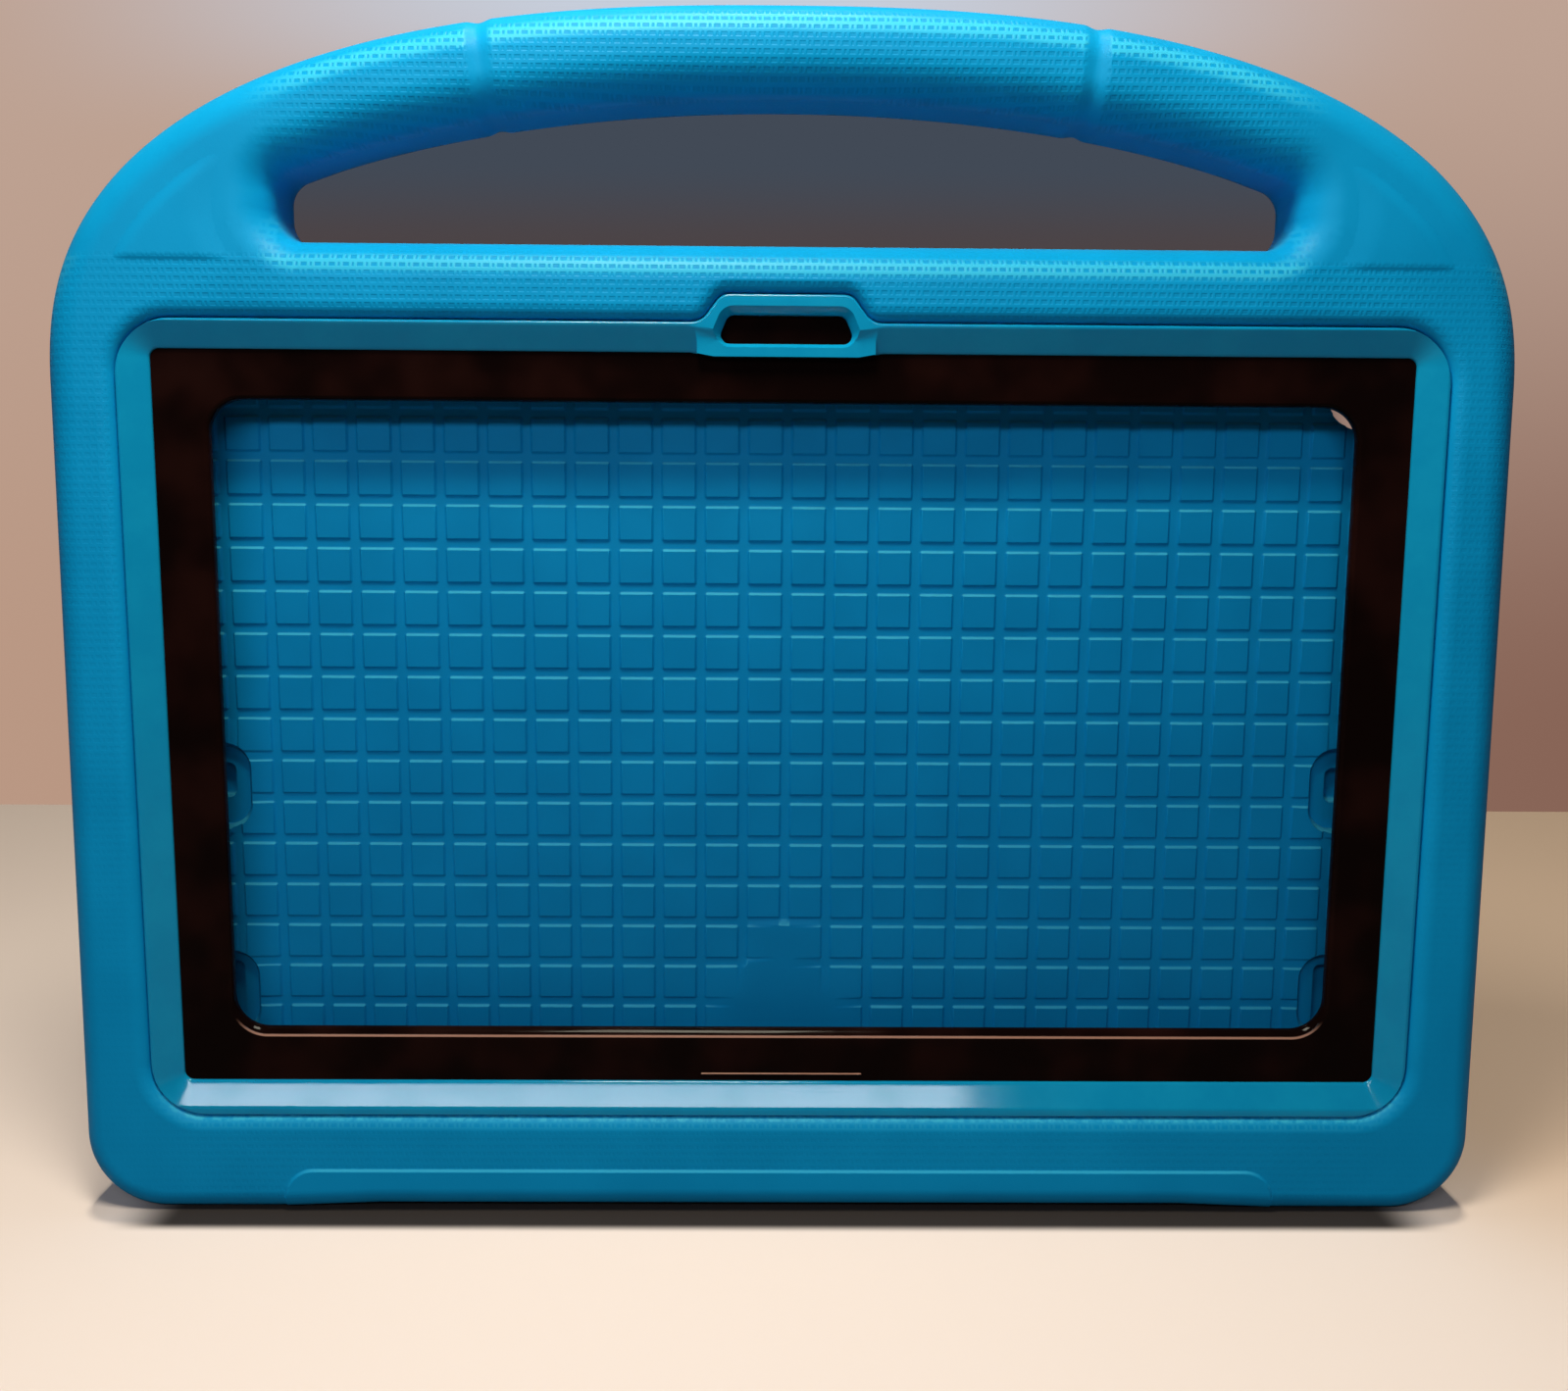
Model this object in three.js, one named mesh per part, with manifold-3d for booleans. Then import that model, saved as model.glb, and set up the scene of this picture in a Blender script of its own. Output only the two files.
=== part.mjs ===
// Kids tablet case: a moulded foam body with a carrying handle, a plastic front frame that snaps
// into its lip, a black inner bezel and a clear screen film. Millimetres, +Z up, the front faces -Y.
// The case stands on its bottom edge, with the origin under the middle of its bounding box.
import * as THREE from 'three';
import { mergeVertices } from 'three/addons/utils/BufferGeometryUtils.js';
import Module from 'manifold-3d';

const wasm = await Module();
wasm.setup();

// The tablet that the case is made for
const TABLET_WIDTH = 244.8;
const TABLET_HEIGHT = 149.6;
const TABLET_THICK = 8;
const TABLET_CORNER_R = 8;
const FIT_GAP = 0.3; // clearance between pieces that fit together

// Foam body around the tablet
const SIDE_WALL = 15.7; // beside the tablet
const BOTTOM_WALL = 23.3;
const CASE_DEPTH = 24;
const EDGE_ROUND = 7.5; // front and rear edges of the arch and the handle
const BASE_ROUND = 4.5; // front and rear edges at the bottom, which widen towards the arch
const BOTTOM_CORNER_R = 15.5;
const PAD_HEIGHT = 0.4; // how far the smooth raised areas stand proud of the front face
const FOOT_LIFT = 0.8; // the underside is hollowed between its two feet
const FOOT_INNER_X = 80;
const FOOT_RAMP = 20;
const CHIN_LINE_Z = 9.3; // top of the raised band along the bottom of the front
const CHIN_LINE_HALF = 98.5;
const CHIN_CORNER_R = 9;

// Handle
const SHOULDER_DROP = 12.8; // the sides start to curve in this far below the tablet's top edge
const ARCH_RISE = 70.8; // from the shoulders up to the top of the handle
const ARCH_POWER = 2.5; // superellipse power: 2 is an ellipse, more is squarer
const HANDLE_BAR = 16.5; // height of the grip's section at the middle
const TOP_BAR = 14.5; // foam between the front frame and the handle opening
const GRIP_HALF_LENGTH = 94.9;
const GRIP_CURVE_HALF = 125; // half axes of the ellipse that shapes the underside of the handle
const GRIP_CURVE_RISE = 42;
const GRIP_LOW_CORNER_R = 5.5;
const GRIP_HIGH_CORNER_R = 4.5;
const GROOVE_X = 56;
const GROOVE_WIDTH = 4;
const GROOVE_DEPTH = 0.9;
const GROOVE_TILT = 5; // degrees that each groove leans along the curve of the handle
const WEB_BELOW_GRIP = 4.1; // the smooth corner areas start this far below the opening
const WEB_EDGE_GAP = 9;
const WEB_INNER_X = 74;

// Front frame
const FRAME_OVER_SIDE = 1.6; // how far the frame's visible edge lies outside the tablet's edge
const FRAME_OVER_BOTTOM = 3.4;
const FRAME_OVER_TOP = 0.8;
const FRAME_CORNER_R = 10.5;
const FRAME_DROP = 0.9; // the frame's rim lies this far behind the foam's front face
const FRAME_THICK = 3.1;
const FRAME_RIM_ROUND = 0.4;
const FRAME_BAND_SIDE = 5.5; // width of the frame from its visible outer edge to its opening
const FRAME_BAND_BOTTOM = 6.2;
const FRAME_BAND_TOP = 5.3;
const FRAME_CHAMFER = 4.8;
const FRAME_LAND = 0.5;
const FRAME_OPENING_R = 1.8;
const FLANGE_REACH = 2.4; // how far the frame's flange hooks under the foam lip
const FLANGE_THICK = 1.5;

// Camera notch of the frame
const NOTCH_TOP_HALF = 12;
const NOTCH_BASE_HALF = 15.8;
const NOTCH_RISE = 5.1;
const NOTCH_TOP_R = 3;
const NOTCH_BASE_R = 4;
const NOTCH_RIM = 3.6; // frame above the notch hole
const NOTCH_HOLE_HALF_LOW = 13;
const NOTCH_HOLE_HALF_HIGH = 10.8;
const NOTCH_HOLE_HEIGHT = 5.2;
const NOTCH_HOLE_R = 1.6;
const NOTCH_HOLE_FLARE = 1.5;
const NOTCH_HOLE_FLARE_DEPTH = 1.9;
const NOTCH_LIP_DROP = 1; // the lip under the notch hole stands back from the frame's rim
const NOTCH_DIP = 0.8; // the frame's opening dips under the notch
const NOTCH_DIP_HALF = 13.5;
const NOTCH_DIP_RAMP = 4.5;

// Bezel and film
const BEZEL_THICK = 2;
const BEZEL_CORNER_R = 4;
const BEZEL_TAB_HALF = 15;
const BEZEL_TAB_RISE = 4.4; // the bezel's tab closes the notch hole from behind
const BEZEL_TAB_R = 2;
const BEZEL_TAB_FOOT_R = 0.6;
const WINDOW_COVER_SIDE = 13.1; // width of the bezel from the tablet's edge to the window
const WINDOW_COVER_BOTTOM = 11.6;
const WINDOW_COVER_TOP = 12.8;
const WINDOW_CORNER_R = 7.4;
const WINDOW_BEVEL = 0.9;
const WINDOW_BEVEL_DEPTH = 1.4;
const FILM_THICK = 0.4;
const BEZEL_BAR_HALF = 16; // the fine raised line low on the bezel
const BEZEL_BAR_BELOW_WINDOW = 7.2;
const BEZEL_BAR_HEIGHT = 0.5;
const BEZEL_BAR_PROUD = 0.25;

// Edge of the foam lip that holds the frame
const LIP_ROUND = 3;
const LIP_ROUND_DEPTH = 2;

// Waffle floor of the pocket
const WAFFLE_PITCH = 8.5;
const WAFFLE_GROOVE = 2;
const WAFFLE_DEPTH = 0.7;
const WAFFLE_MARGIN = 3; // least plain floor kept beside the pocket walls
const WAFFLE_SHIFT = 0.5; // the moulded pattern sits a little to the right of the middle
const PATCH_TOP = 31.5; // top of the bare patch, above the tablet's bottom edge
const PATCH_HEIGHT = 23;
const PATCH_TOP_HALF = 5;
const PATCH_LOW_HALF = 14;
const PATCH_R = 2.5;

// Port channels on each side: a wide shallow recess with a narrower, deeper slot in it.
// Heights are above the tablet's bottom edge.
const UPPER_PORT = { recessHeight: 60.1, slotHeight: 61, slotWidth: 7 };
const LOWER_PORT = { recessHeight: 17.1, slotHeight: 16.6, slotWidth: 13 };
const RECESS_WIDTH = 16;
const RECESS_REACH = 14.9; // how far the recess reaches in behind the tablet's side edge
const RECESS_CORNER_R = 4.5;
const RECESS_DEPTH = 2.2; // below the pocket's floor
const RECESS_COLLAR = 1.6; // plain floor kept around the recess
const SLOT_REACH = 11.9;
const SLOT_CORNER_R = 1.5;
const SLOT_DEPTH = 4.6;
const PORT_FRONT_WALL = 2; // foam left between a channel and the film
const PORT_EDGE_R = 1.5;

// Camera hole in the back, measured in from the tablet's edges
const CAMERA_FROM_SIDE = 9.7;
const CAMERA_FROM_TOP = 10.6;
const CAMERA_R = 7.5;
const CAMERA_FLARE = 2;

// How finely curves are divided
const ARCH_STEPS = 38;
const GRIP_STEPS = 20;
const ROUND_STEPS = 4;
const CIRCLE_STEPS = 24;
const PORT_EDGE_STEPS = 2;
const ARC_STEP = Math.PI / 12;
const OVERSHOOT = 2; // cutters reach past the faces they open
const SAME_POINT = 1e-5; // points nearer than this are one

// Depths of the layers, from the front to the back
const PAD_Y = -CASE_DEPTH / 2;
const FRONT_Y = PAD_Y + PAD_HEIGHT;
const REAR_Y = CASE_DEPTH / 2;
const FRAME_FRONT_Y = FRONT_Y + FRAME_DROP;
const FRAME_REAR_Y = FRAME_FRONT_Y + FRAME_THICK;
const FLANGE_FRONT_Y = FRAME_REAR_Y - FLANGE_THICK;
const LIP_REAR_Y = FLANGE_FRONT_Y - FIT_GAP;
const SEAT_Y = FRAME_REAR_Y + FIT_GAP;
const BEZEL_REAR_Y = FRAME_REAR_Y + BEZEL_THICK;
const FILM_REAR_Y = BEZEL_REAR_Y + FILM_THICK;
const FLOOR_Y = FILM_REAR_Y + TABLET_THICK;

// Widths and heights worked out from the driving sizes
const TABLET_HALF = TABLET_WIDTH / 2;
const TABLET_LOW_Z = BOTTOM_WALL;
const TABLET_TOP_Z = BOTTOM_WALL + TABLET_HEIGHT;
const CASE_HALF = TABLET_HALF + SIDE_WALL;
const SHOULDER_Z = TABLET_TOP_Z - SHOULDER_DROP;
const CASE_TOP_Z = SHOULDER_Z + ARCH_RISE;
const FRAME_HALF = TABLET_HALF + FRAME_OVER_SIDE;
const FRAME_LOW_Z = TABLET_LOW_Z - FRAME_OVER_BOTTOM;
const FRAME_TOP_Z = TABLET_TOP_Z + FRAME_OVER_TOP;
const OPENING_TOP_Z = FRAME_TOP_Z - FRAME_BAND_TOP;
const GRIP_LOW_Z = FRAME_TOP_Z + TOP_BAR;
const GRIP_HIGH_Z = CASE_TOP_Z - HANDLE_BAR;
const WINDOW_LOW_Z = TABLET_LOW_Z + WINDOW_COVER_BOTTOM;

// An outline is a closed loop, anticlockwise seen from the front, of points with outward normals.
// A corner with a radius becomes an arc, so growing the outline keeps the arc true. A point may hold
// the round of the edge that passes through it.
function roundedOutline(corners) {
  const outline = [];
  corners.forEach((corner, i) => {
    const before = corners[(i + corners.length - 1) % corners.length];
    const after = corners[(i + 1) % corners.length];
    const angleIn = Math.atan2(corner.z - before.z, corner.x - before.x);
    const angleOut = Math.atan2(after.z - corner.z, after.x - corner.x);
    let turn = angleOut - angleIn;
    if (turn > Math.PI) turn -= 2 * Math.PI;
    if (turn < -Math.PI) turn += 2 * Math.PI;
    if (corner.r) {
      outline.push(...cornerArc(corner, angleIn, turn));
    } else {
      const angle = angleIn + turn / 2;
      const stretch = 1 / Math.cos(turn / 2);
      const [nx, nz] = [Math.sin(angle) * stretch, -Math.cos(angle) * stretch];
      outline.push({ ...corner, nx, nz });
    }
  });
  return outline;
}

function cornerArc(corner, angleIn, turn) {
  const r = corner.r * Math.sign(turn);
  const back = corner.r * Math.tan(Math.abs(turn) / 2);
  const centreX = corner.x - Math.cos(angleIn) * back - Math.sin(angleIn) * r;
  const centreZ = corner.z - Math.sin(angleIn) * back + Math.cos(angleIn) * r;
  const steps = Math.max(2, Math.ceil(Math.abs(turn) / ARC_STEP));
  const arc = [];
  for (let s = 0; s <= steps; s++) {
    const angle = angleIn + (turn * s) / steps;
    const [nx, nz] = [Math.sin(angle), -Math.cos(angle)];
    arc.push({ ...corner, x: centreX + nx * r, z: centreZ + nz * r, nx, nz });
  }
  return arc;
}

function rectangle(left, right, low, high, r) {
  return roundedOutline([
    { x: left, z: low, r },
    { x: right, z: low, r },
    { x: right, z: high, r },
    { x: left, z: high, r },
  ]);
}

function grow(outline, by) {
  return outline.map((p) => ({ ...p, x: p.x + p.nx * by, z: p.z + p.nz * by }));
}

function at(y, outline) {
  return outline.map((p) => ({ ...p, y }));
}

// A closed solid through rings with equal numbers of points, from the front to the back.
function loft(rings) {
  const count = rings[0].length;
  const positions = rings.flat().flatMap((p) => [p.x, p.y, p.z]);
  const triangles = [];
  for (let first = 0; first < count * (rings.length - 1); first += count) {
    for (let k = 0; k < count; k++) {
      const a = first + k;
      const b = first + ((k + 1) % count);
      triangles.push(a, a + count, b + count, a, b + count, b);
    }
  }
  const last = count * (rings.length - 1);
  for (const [a, b, c] of capTriangles(rings[0])) triangles.push(a, b, c);
  for (const [a, b, c] of capTriangles(rings.at(-1))) triangles.push(last + a, last + c, last + b);
  const geometry = new THREE.BufferGeometry();
  geometry.setAttribute('position', new THREE.Float32BufferAttribute(positions, 3));
  geometry.setIndex(triangles);
  return toSolid(geometry);
}

function capTriangles(ring) {
  return THREE.ShapeUtils.triangulateShape(ring.map((p) => new THREE.Vector2(p.x, p.z)), []);
}

function prism(outline, frontY, rearY) {
  return loft([at(frontY, outline), at(rearY, outline)]);
}

function toSolid(geometry) {
  const bare = geometry.clone();
  bare.deleteAttribute('normal');
  bare.deleteAttribute('uv');
  const merged = mergeVertices(bare, SAME_POINT);
  return new wasm.Manifold(new wasm.Mesh({
    numProp: 3,
    vertProperties: new Float32Array(merged.attributes.position.array),
    triVerts: new Uint32Array(merged.index.array),
  }));
}

function box(x0, x1, y0, y1, z0, z1) {
  const geometry = new THREE.BoxGeometry(x1 - x0, y1 - y0, z1 - z0);
  geometry.translate((x0 + x1) / 2, (y0 + y1) / 2, (z0 + z1) / 2);
  return toSolid(geometry);
}

function toMesh(name, solid, material) {
  const { vertProperties, triVerts } = solid.getMesh();
  const geometry = new THREE.BufferGeometry();
  geometry.setAttribute('position', new THREE.BufferAttribute(vertProperties, 3));
  geometry.setIndex(new THREE.BufferAttribute(triVerts, 1));
  geometry.computeVertexNormals();
  const mesh = new THREE.Mesh(geometry, material);
  mesh.name = name;
  return mesh;
}

// Steps of a quarter round with a radius of 1, from the face to the side: how far each step lies
// in from the side and back from the face.
const QUARTER_ROUND = Array.from({ length: ROUND_STEPS + 1 }, (_, s) => {
  const angle = (Math.PI / 2) * (1 - s / ROUND_STEPS);
  return { inset: 1 - Math.cos(angle), back: 1 - Math.sin(angle) };
});

// A body whose front and rear edges have the round that each point of its outline holds.
function roundedBody(outline, frontY, rearY) {
  const edge = (faceY, inward) => QUARTER_ROUND.map(({ inset, back }) => outline.map((p) => ({
    x: p.x - p.nx * inset * p.round,
    y: faceY + inward * back * p.round,
    z: p.z - p.nz * inset * p.round,
  })));
  return loft([...edge(frontY, 1), ...edge(rearY, -1).reverse()]);
}

// Rings of a cutter that flares towards a face, which leaves a rounded edge on what it cuts.
function flaredMouth(outline, faceY, inward, flare, depth = flare) {
  const rings = QUARTER_ROUND.map(({ inset, back }) => (
    at(faceY + inward * back * depth, grow(outline, inset * flare))
  ));
  return [at(faceY - inward * OVERSHOOT, rings[0]), ...rings];
}

// Outer outline of the body: two feet, rounded bottom corners, the sides and the arched handle.
function bodyOutline() {
  const base = [
    { x: -CASE_HALF, z: 0, r: BOTTOM_CORNER_R },
    { x: -FOOT_INNER_X - FOOT_RAMP, z: 0 },
    { x: -FOOT_INNER_X, z: FOOT_LIFT },
    { x: FOOT_INNER_X, z: FOOT_LIFT },
    { x: FOOT_INNER_X + FOOT_RAMP, z: 0 },
    { x: CASE_HALF, z: 0, r: BOTTOM_CORNER_R },
  ];
  const corners = base.map((corner) => ({ ...corner, round: BASE_ROUND }));
  for (let s = 0; s <= ARCH_STEPS; s++) {
    const t = (Math.PI * s) / ARCH_STEPS;
    const across = Math.sign(Math.cos(t)) * Math.abs(Math.cos(t)) ** (2 / ARCH_POWER);
    const rise = Math.abs(Math.sin(t)) ** (2 / ARCH_POWER);
    corners.push({ x: CASE_HALF * across, z: SHOULDER_Z + ARCH_RISE * rise, round: EDGE_ROUND });
  }
  return roundedOutline(corners);
}

function gripCurveZ(x) {
  return GRIP_HIGH_Z - GRIP_CURVE_RISE * (1 - Math.sqrt(1 - (x / GRIP_CURVE_HALF) ** 2));
}

// The handle opening: flat below, an ellipse above, with short rounded ends.
function gripOutline() {
  const half = GRIP_HALF_LENGTH;
  const endZ = gripCurveZ(half);
  const corners = [
    { x: -half, z: GRIP_LOW_Z, r: GRIP_LOW_CORNER_R },
    { x: half, z: GRIP_LOW_Z, r: GRIP_LOW_CORNER_R },
    { x: half, z: endZ, r: GRIP_HIGH_CORNER_R },
  ];
  const reach = half - 2 * GRIP_HIGH_CORNER_R;
  for (let s = 0; s <= GRIP_STEPS; s++) {
    const x = reach * (1 - (2 * s) / GRIP_STEPS);
    corners.push({ x, z: gripCurveZ(x) });
  }
  corners.push({ x: -half, z: endZ, r: GRIP_HIGH_CORNER_R });
  return roundedOutline(corners);
}

// Visible outer edge of the front frame, with the raised camera notch in its top side.
function frameOutline() {
  const notchZ = FRAME_TOP_Z + NOTCH_RISE;
  return roundedOutline([
    { x: -FRAME_HALF, z: FRAME_LOW_Z, r: FRAME_CORNER_R },
    { x: FRAME_HALF, z: FRAME_LOW_Z, r: FRAME_CORNER_R },
    { x: FRAME_HALF, z: FRAME_TOP_Z, r: FRAME_CORNER_R },
    { x: NOTCH_BASE_HALF, z: FRAME_TOP_Z, r: NOTCH_BASE_R },
    { x: NOTCH_TOP_HALF, z: notchZ, r: NOTCH_TOP_R },
    { x: -NOTCH_TOP_HALF, z: notchZ, r: NOTCH_TOP_R },
    { x: -NOTCH_BASE_HALF, z: FRAME_TOP_Z, r: NOTCH_BASE_R },
    { x: -FRAME_HALF, z: FRAME_TOP_Z, r: FRAME_CORNER_R },
  ]);
}

function frameOpeningOutline() {
  const half = FRAME_HALF - FRAME_BAND_SIDE;
  const lowZ = FRAME_LOW_Z + FRAME_BAND_BOTTOM;
  const dipZ = OPENING_TOP_Z - NOTCH_DIP;
  return roundedOutline([
    { x: -half, z: lowZ, r: FRAME_OPENING_R },
    { x: half, z: lowZ, r: FRAME_OPENING_R },
    { x: half, z: OPENING_TOP_Z, r: FRAME_OPENING_R },
    { x: NOTCH_DIP_HALF + NOTCH_DIP_RAMP, z: OPENING_TOP_Z },
    { x: NOTCH_DIP_HALF, z: dipZ },
    { x: -NOTCH_DIP_HALF, z: dipZ },
    { x: -NOTCH_DIP_HALF - NOTCH_DIP_RAMP, z: OPENING_TOP_Z },
    { x: -half, z: OPENING_TOP_Z, r: FRAME_OPENING_R },
  ]);
}

function notchHoleOutline() {
  const highZ = FRAME_TOP_Z + NOTCH_RISE - NOTCH_RIM;
  const lowZ = highZ - NOTCH_HOLE_HEIGHT;
  return roundedOutline([
    { x: -NOTCH_HOLE_HALF_LOW, z: lowZ, r: NOTCH_HOLE_R },
    { x: NOTCH_HOLE_HALF_LOW, z: lowZ, r: NOTCH_HOLE_R },
    { x: NOTCH_HOLE_HALF_HIGH, z: highZ, r: NOTCH_HOLE_R },
    { x: -NOTCH_HOLE_HALF_HIGH, z: highZ, r: NOTCH_HOLE_R },
  ]);
}

// The bezel covers the tablet's outline and has a tab behind the camera notch.
function bezelOutline() {
  const tabTopZ = TABLET_TOP_Z + BEZEL_TAB_RISE;
  return roundedOutline([
    { x: -TABLET_HALF, z: TABLET_LOW_Z, r: BEZEL_CORNER_R },
    { x: TABLET_HALF, z: TABLET_LOW_Z, r: BEZEL_CORNER_R },
    { x: TABLET_HALF, z: TABLET_TOP_Z, r: BEZEL_CORNER_R },
    { x: BEZEL_TAB_HALF, z: TABLET_TOP_Z, r: BEZEL_TAB_FOOT_R },
    { x: BEZEL_TAB_HALF, z: tabTopZ, r: BEZEL_TAB_R },
    { x: -BEZEL_TAB_HALF, z: tabTopZ, r: BEZEL_TAB_R },
    { x: -BEZEL_TAB_HALF, z: TABLET_TOP_Z, r: BEZEL_TAB_FOOT_R },
    { x: -TABLET_HALF, z: TABLET_TOP_Z, r: BEZEL_CORNER_R },
  ]);
}

// Space that the frame, the bezel, the film and the tablet take out of the foam.
function pocketCutter() {
  const lip = grow(frameOutline(), FIT_GAP);
  const mouth = flaredMouth(lip, FRONT_Y, 1, LIP_ROUND, LIP_ROUND_DEPTH);
  const throat = loft([...mouth, at(SEAT_Y, lip)]);
  const flangeGroove = prism(grow(lip, FLANGE_REACH), LIP_REAR_Y, SEAT_Y);
  const bezelSeat = prism(grow(bezelOutline(), FIT_GAP), FRAME_REAR_Y, FILM_REAR_Y);
  const tablet = rectangle(-TABLET_HALF, TABLET_HALF, TABLET_LOW_Z, TABLET_TOP_Z, TABLET_CORNER_R);
  const tabletPocket = prism(grow(tablet, FIT_GAP), FRAME_REAR_Y, FLOOR_Y);
  return throat.add(flangeGroove).add(bezelSeat).add(tabletPocket);
}

// A cutter that runs out through the side from a rounded end under the tablet.
function sideCutter(side, reach, height, width, endR, depth) {
  const frontY = FILM_REAR_Y + PORT_FRONT_WALL;
  const rearY = FLOOR_Y + depth;
  const [w, h] = [width / 2 - PORT_EDGE_R, (rearY - frontY) / 2 - PORT_EDGE_R];
  const section = new THREE.Shape();
  section.absarc(w, -h, PORT_EDGE_R, -Math.PI / 2, 0);
  section.absarc(w, h, PORT_EDGE_R, 0, Math.PI / 2);
  section.absarc(-w, h, PORT_EDGE_R, Math.PI / 2, Math.PI);
  section.absarc(-w, -h, PORT_EDGE_R, Math.PI, Math.PI * 1.5);
  const bar = new THREE.ExtrudeGeometry(section, {
    depth: CASE_HALF + OVERSHOOT, bevelEnabled: false, curveSegments: PORT_EDGE_STEPS,
  });
  bar.rotateY((side * Math.PI) / 2);
  bar.translate(0, (frontY + rearY) / 2, TABLET_LOW_Z + height);
  const plan = sidePlan(side, reach, height, width, endR);
  return prism(plan, frontY - OVERSHOOT, rearY + OVERSHOOT).intersect(toSolid(bar));
}

function sidePlan(side, reach, height, width, endR) {
  const innerX = side * (TABLET_HALF - reach);
  const outerX = side * (CASE_HALF + endR + OVERSHOOT);
  const middleZ = TABLET_LOW_Z + height;
  const [left, right] = [Math.min(innerX, outerX), Math.max(innerX, outerX)];
  return rectangle(left, right, middleZ - width / 2, middleZ + width / 2, endR);
}

function eachPort(make) {
  return [-1, 1].flatMap((side) => [UPPER_PORT, LOWER_PORT].map((port) => make(side, port)));
}

function portCutter(side, port) {
  const { recessHeight, slotHeight, slotWidth } = port;
  const recess = sideCutter(side, RECESS_REACH, recessHeight, RECESS_WIDTH, RECESS_CORNER_R, RECESS_DEPTH);
  const slot = sideCutter(side, SLOT_REACH, slotHeight, slotWidth, SLOT_CORNER_R, SLOT_DEPTH);
  return recess.add(slot);
}

// Grooves that divide the pocket's floor into raised squares, kept off the ports and the patch.
function waffleCutter() {
  const middleZ = (TABLET_LOW_Z + TABLET_TOP_Z) / 2;
  const halfX = (waffleCount(TABLET_WIDTH) * WAFFLE_PITCH) / 2;
  const halfZ = (waffleCount(TABLET_HEIGHT) * WAFFLE_PITCH) / 2;
  const [left, right] = [WAFFLE_SHIFT - halfX, WAFFLE_SHIFT + halfX];
  const [low, high] = [middleZ - halfZ, middleZ + halfZ];
  const [frontY, rearY] = [FLOOR_Y - OVERSHOOT, FLOOR_Y + WAFFLE_DEPTH];
  const w = WAFFLE_GROOVE / 2;
  let grooves = box(left - w, left + w, frontY, rearY, low - w, high + w);
  for (let x = left + WAFFLE_PITCH; x < right + w; x += WAFFLE_PITCH) {
    grooves = grooves.add(box(x - w, x + w, frontY, rearY, low - w, high + w));
  }
  for (let z = low; z < high + w; z += WAFFLE_PITCH) {
    grooves = grooves.add(box(left - w, right + w, frontY, rearY, z - w, z + w));
  }
  const plans = eachPort((side, port) => (
    sidePlan(side, RECESS_REACH, port.recessHeight, RECESS_WIDTH, RECESS_CORNER_R)
  ));
  for (const bare of [patchOutline(), ...plans.map((plan) => grow(plan, RECESS_COLLAR))]) {
    grooves = grooves.subtract(prism(bare, frontY - OVERSHOOT, rearY + OVERSHOOT));
  }
  return grooves;
}

function waffleCount(floor) {
  return Math.floor((floor - 2 * WAFFLE_MARGIN) / WAFFLE_PITCH);
}

function patchOutline() {
  const topZ = TABLET_LOW_Z + PATCH_TOP;
  return roundedOutline([
    { x: -PATCH_LOW_HALF, z: topZ - PATCH_HEIGHT, r: PATCH_R },
    { x: PATCH_LOW_HALF, z: topZ - PATCH_HEIGHT, r: PATCH_R },
    { x: PATCH_TOP_HALF, z: topZ, r: PATCH_R },
    { x: -PATCH_TOP_HALF, z: topZ, r: PATCH_R },
  ]);
}

function cameraCutter() {
  const [x, z] = [TABLET_HALF - CAMERA_FROM_SIDE, TABLET_TOP_Z - CAMERA_FROM_TOP];
  const circle = Array.from({ length: CIRCLE_STEPS }, (_, s) => {
    const angle = (2 * Math.PI * s) / CIRCLE_STEPS;
    const [nx, nz] = [Math.cos(angle), Math.sin(angle)];
    return { x: x + CAMERA_R * nx, z: z + CAMERA_R * nz, nx, nz };
  });
  const mouth = flaredMouth(circle, REAR_Y, -1, CAMERA_FLARE).reverse();
  return loft([at(FLOOR_Y - OVERSHOOT, circle), ...mouth]);
}

function gripCutter(growBy = 0) {
  const outline = grow(gripOutline(), growBy);
  const front = flaredMouth(outline, FRONT_Y + growBy, 1, EDGE_ROUND);
  const rear = flaredMouth(outline, REAR_Y - growBy, -1, EDGE_ROUND).reverse();
  return loft([...front, ...rear]);
}

// A shallow ring around the handle at each end of the grip.
function gripGroove(side) {
  const inner = grow(bodyOutline(), -GROOVE_DEPTH);
  const core = roundedBody(inner, FRONT_Y + GROOVE_DEPTH, REAR_Y - GROOVE_DEPTH)
    .subtract(gripCutter(GROOVE_DEPTH));
  const slab = new THREE.BoxGeometry(GROOVE_WIDTH, CASE_DEPTH + 2 * OVERSHOOT, 2 * HANDLE_BAR);
  slab.rotateY(side * THREE.MathUtils.degToRad(GROOVE_TILT));
  slab.translate(side * GROOVE_X, 0, GRIP_HIGH_Z + HANDLE_BAR / 2);
  return toSolid(slab).subtract(core);
}

// Smooth areas beside the handle opening, which stand a little proud of the front face.
function webPads() {
  const reach = CASE_HALF + OVERSHOOT;
  return prism(grow(bodyOutline(), -WEB_EDGE_GAP), PAD_Y, 0)
    .intersect(box(-reach, reach, PAD_Y - OVERSHOOT, 0, GRIP_LOW_Z - WEB_BELOW_GRIP, CASE_TOP_Z))
    .subtract(box(-WEB_INNER_X, WEB_INNER_X, PAD_Y - OVERSHOOT, OVERSHOOT, 0, CASE_TOP_Z))
    .subtract(prism(grow(gripOutline(), EDGE_ROUND), PAD_Y - OVERSHOOT, OVERSHOOT));
}

// The raised band along the bottom of the front, which follows the rounded lower edge.
function chinBand() {
  const band = rectangle(-CHIN_LINE_HALF, CHIN_LINE_HALF, -CHIN_LINE_Z, CHIN_LINE_Z, CHIN_CORNER_R);
  return roundedBody(bodyOutline(), PAD_Y, REAR_Y)
    .intersect(prism(band, PAD_Y - OVERSHOOT, FRONT_Y + BASE_ROUND));
}

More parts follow.
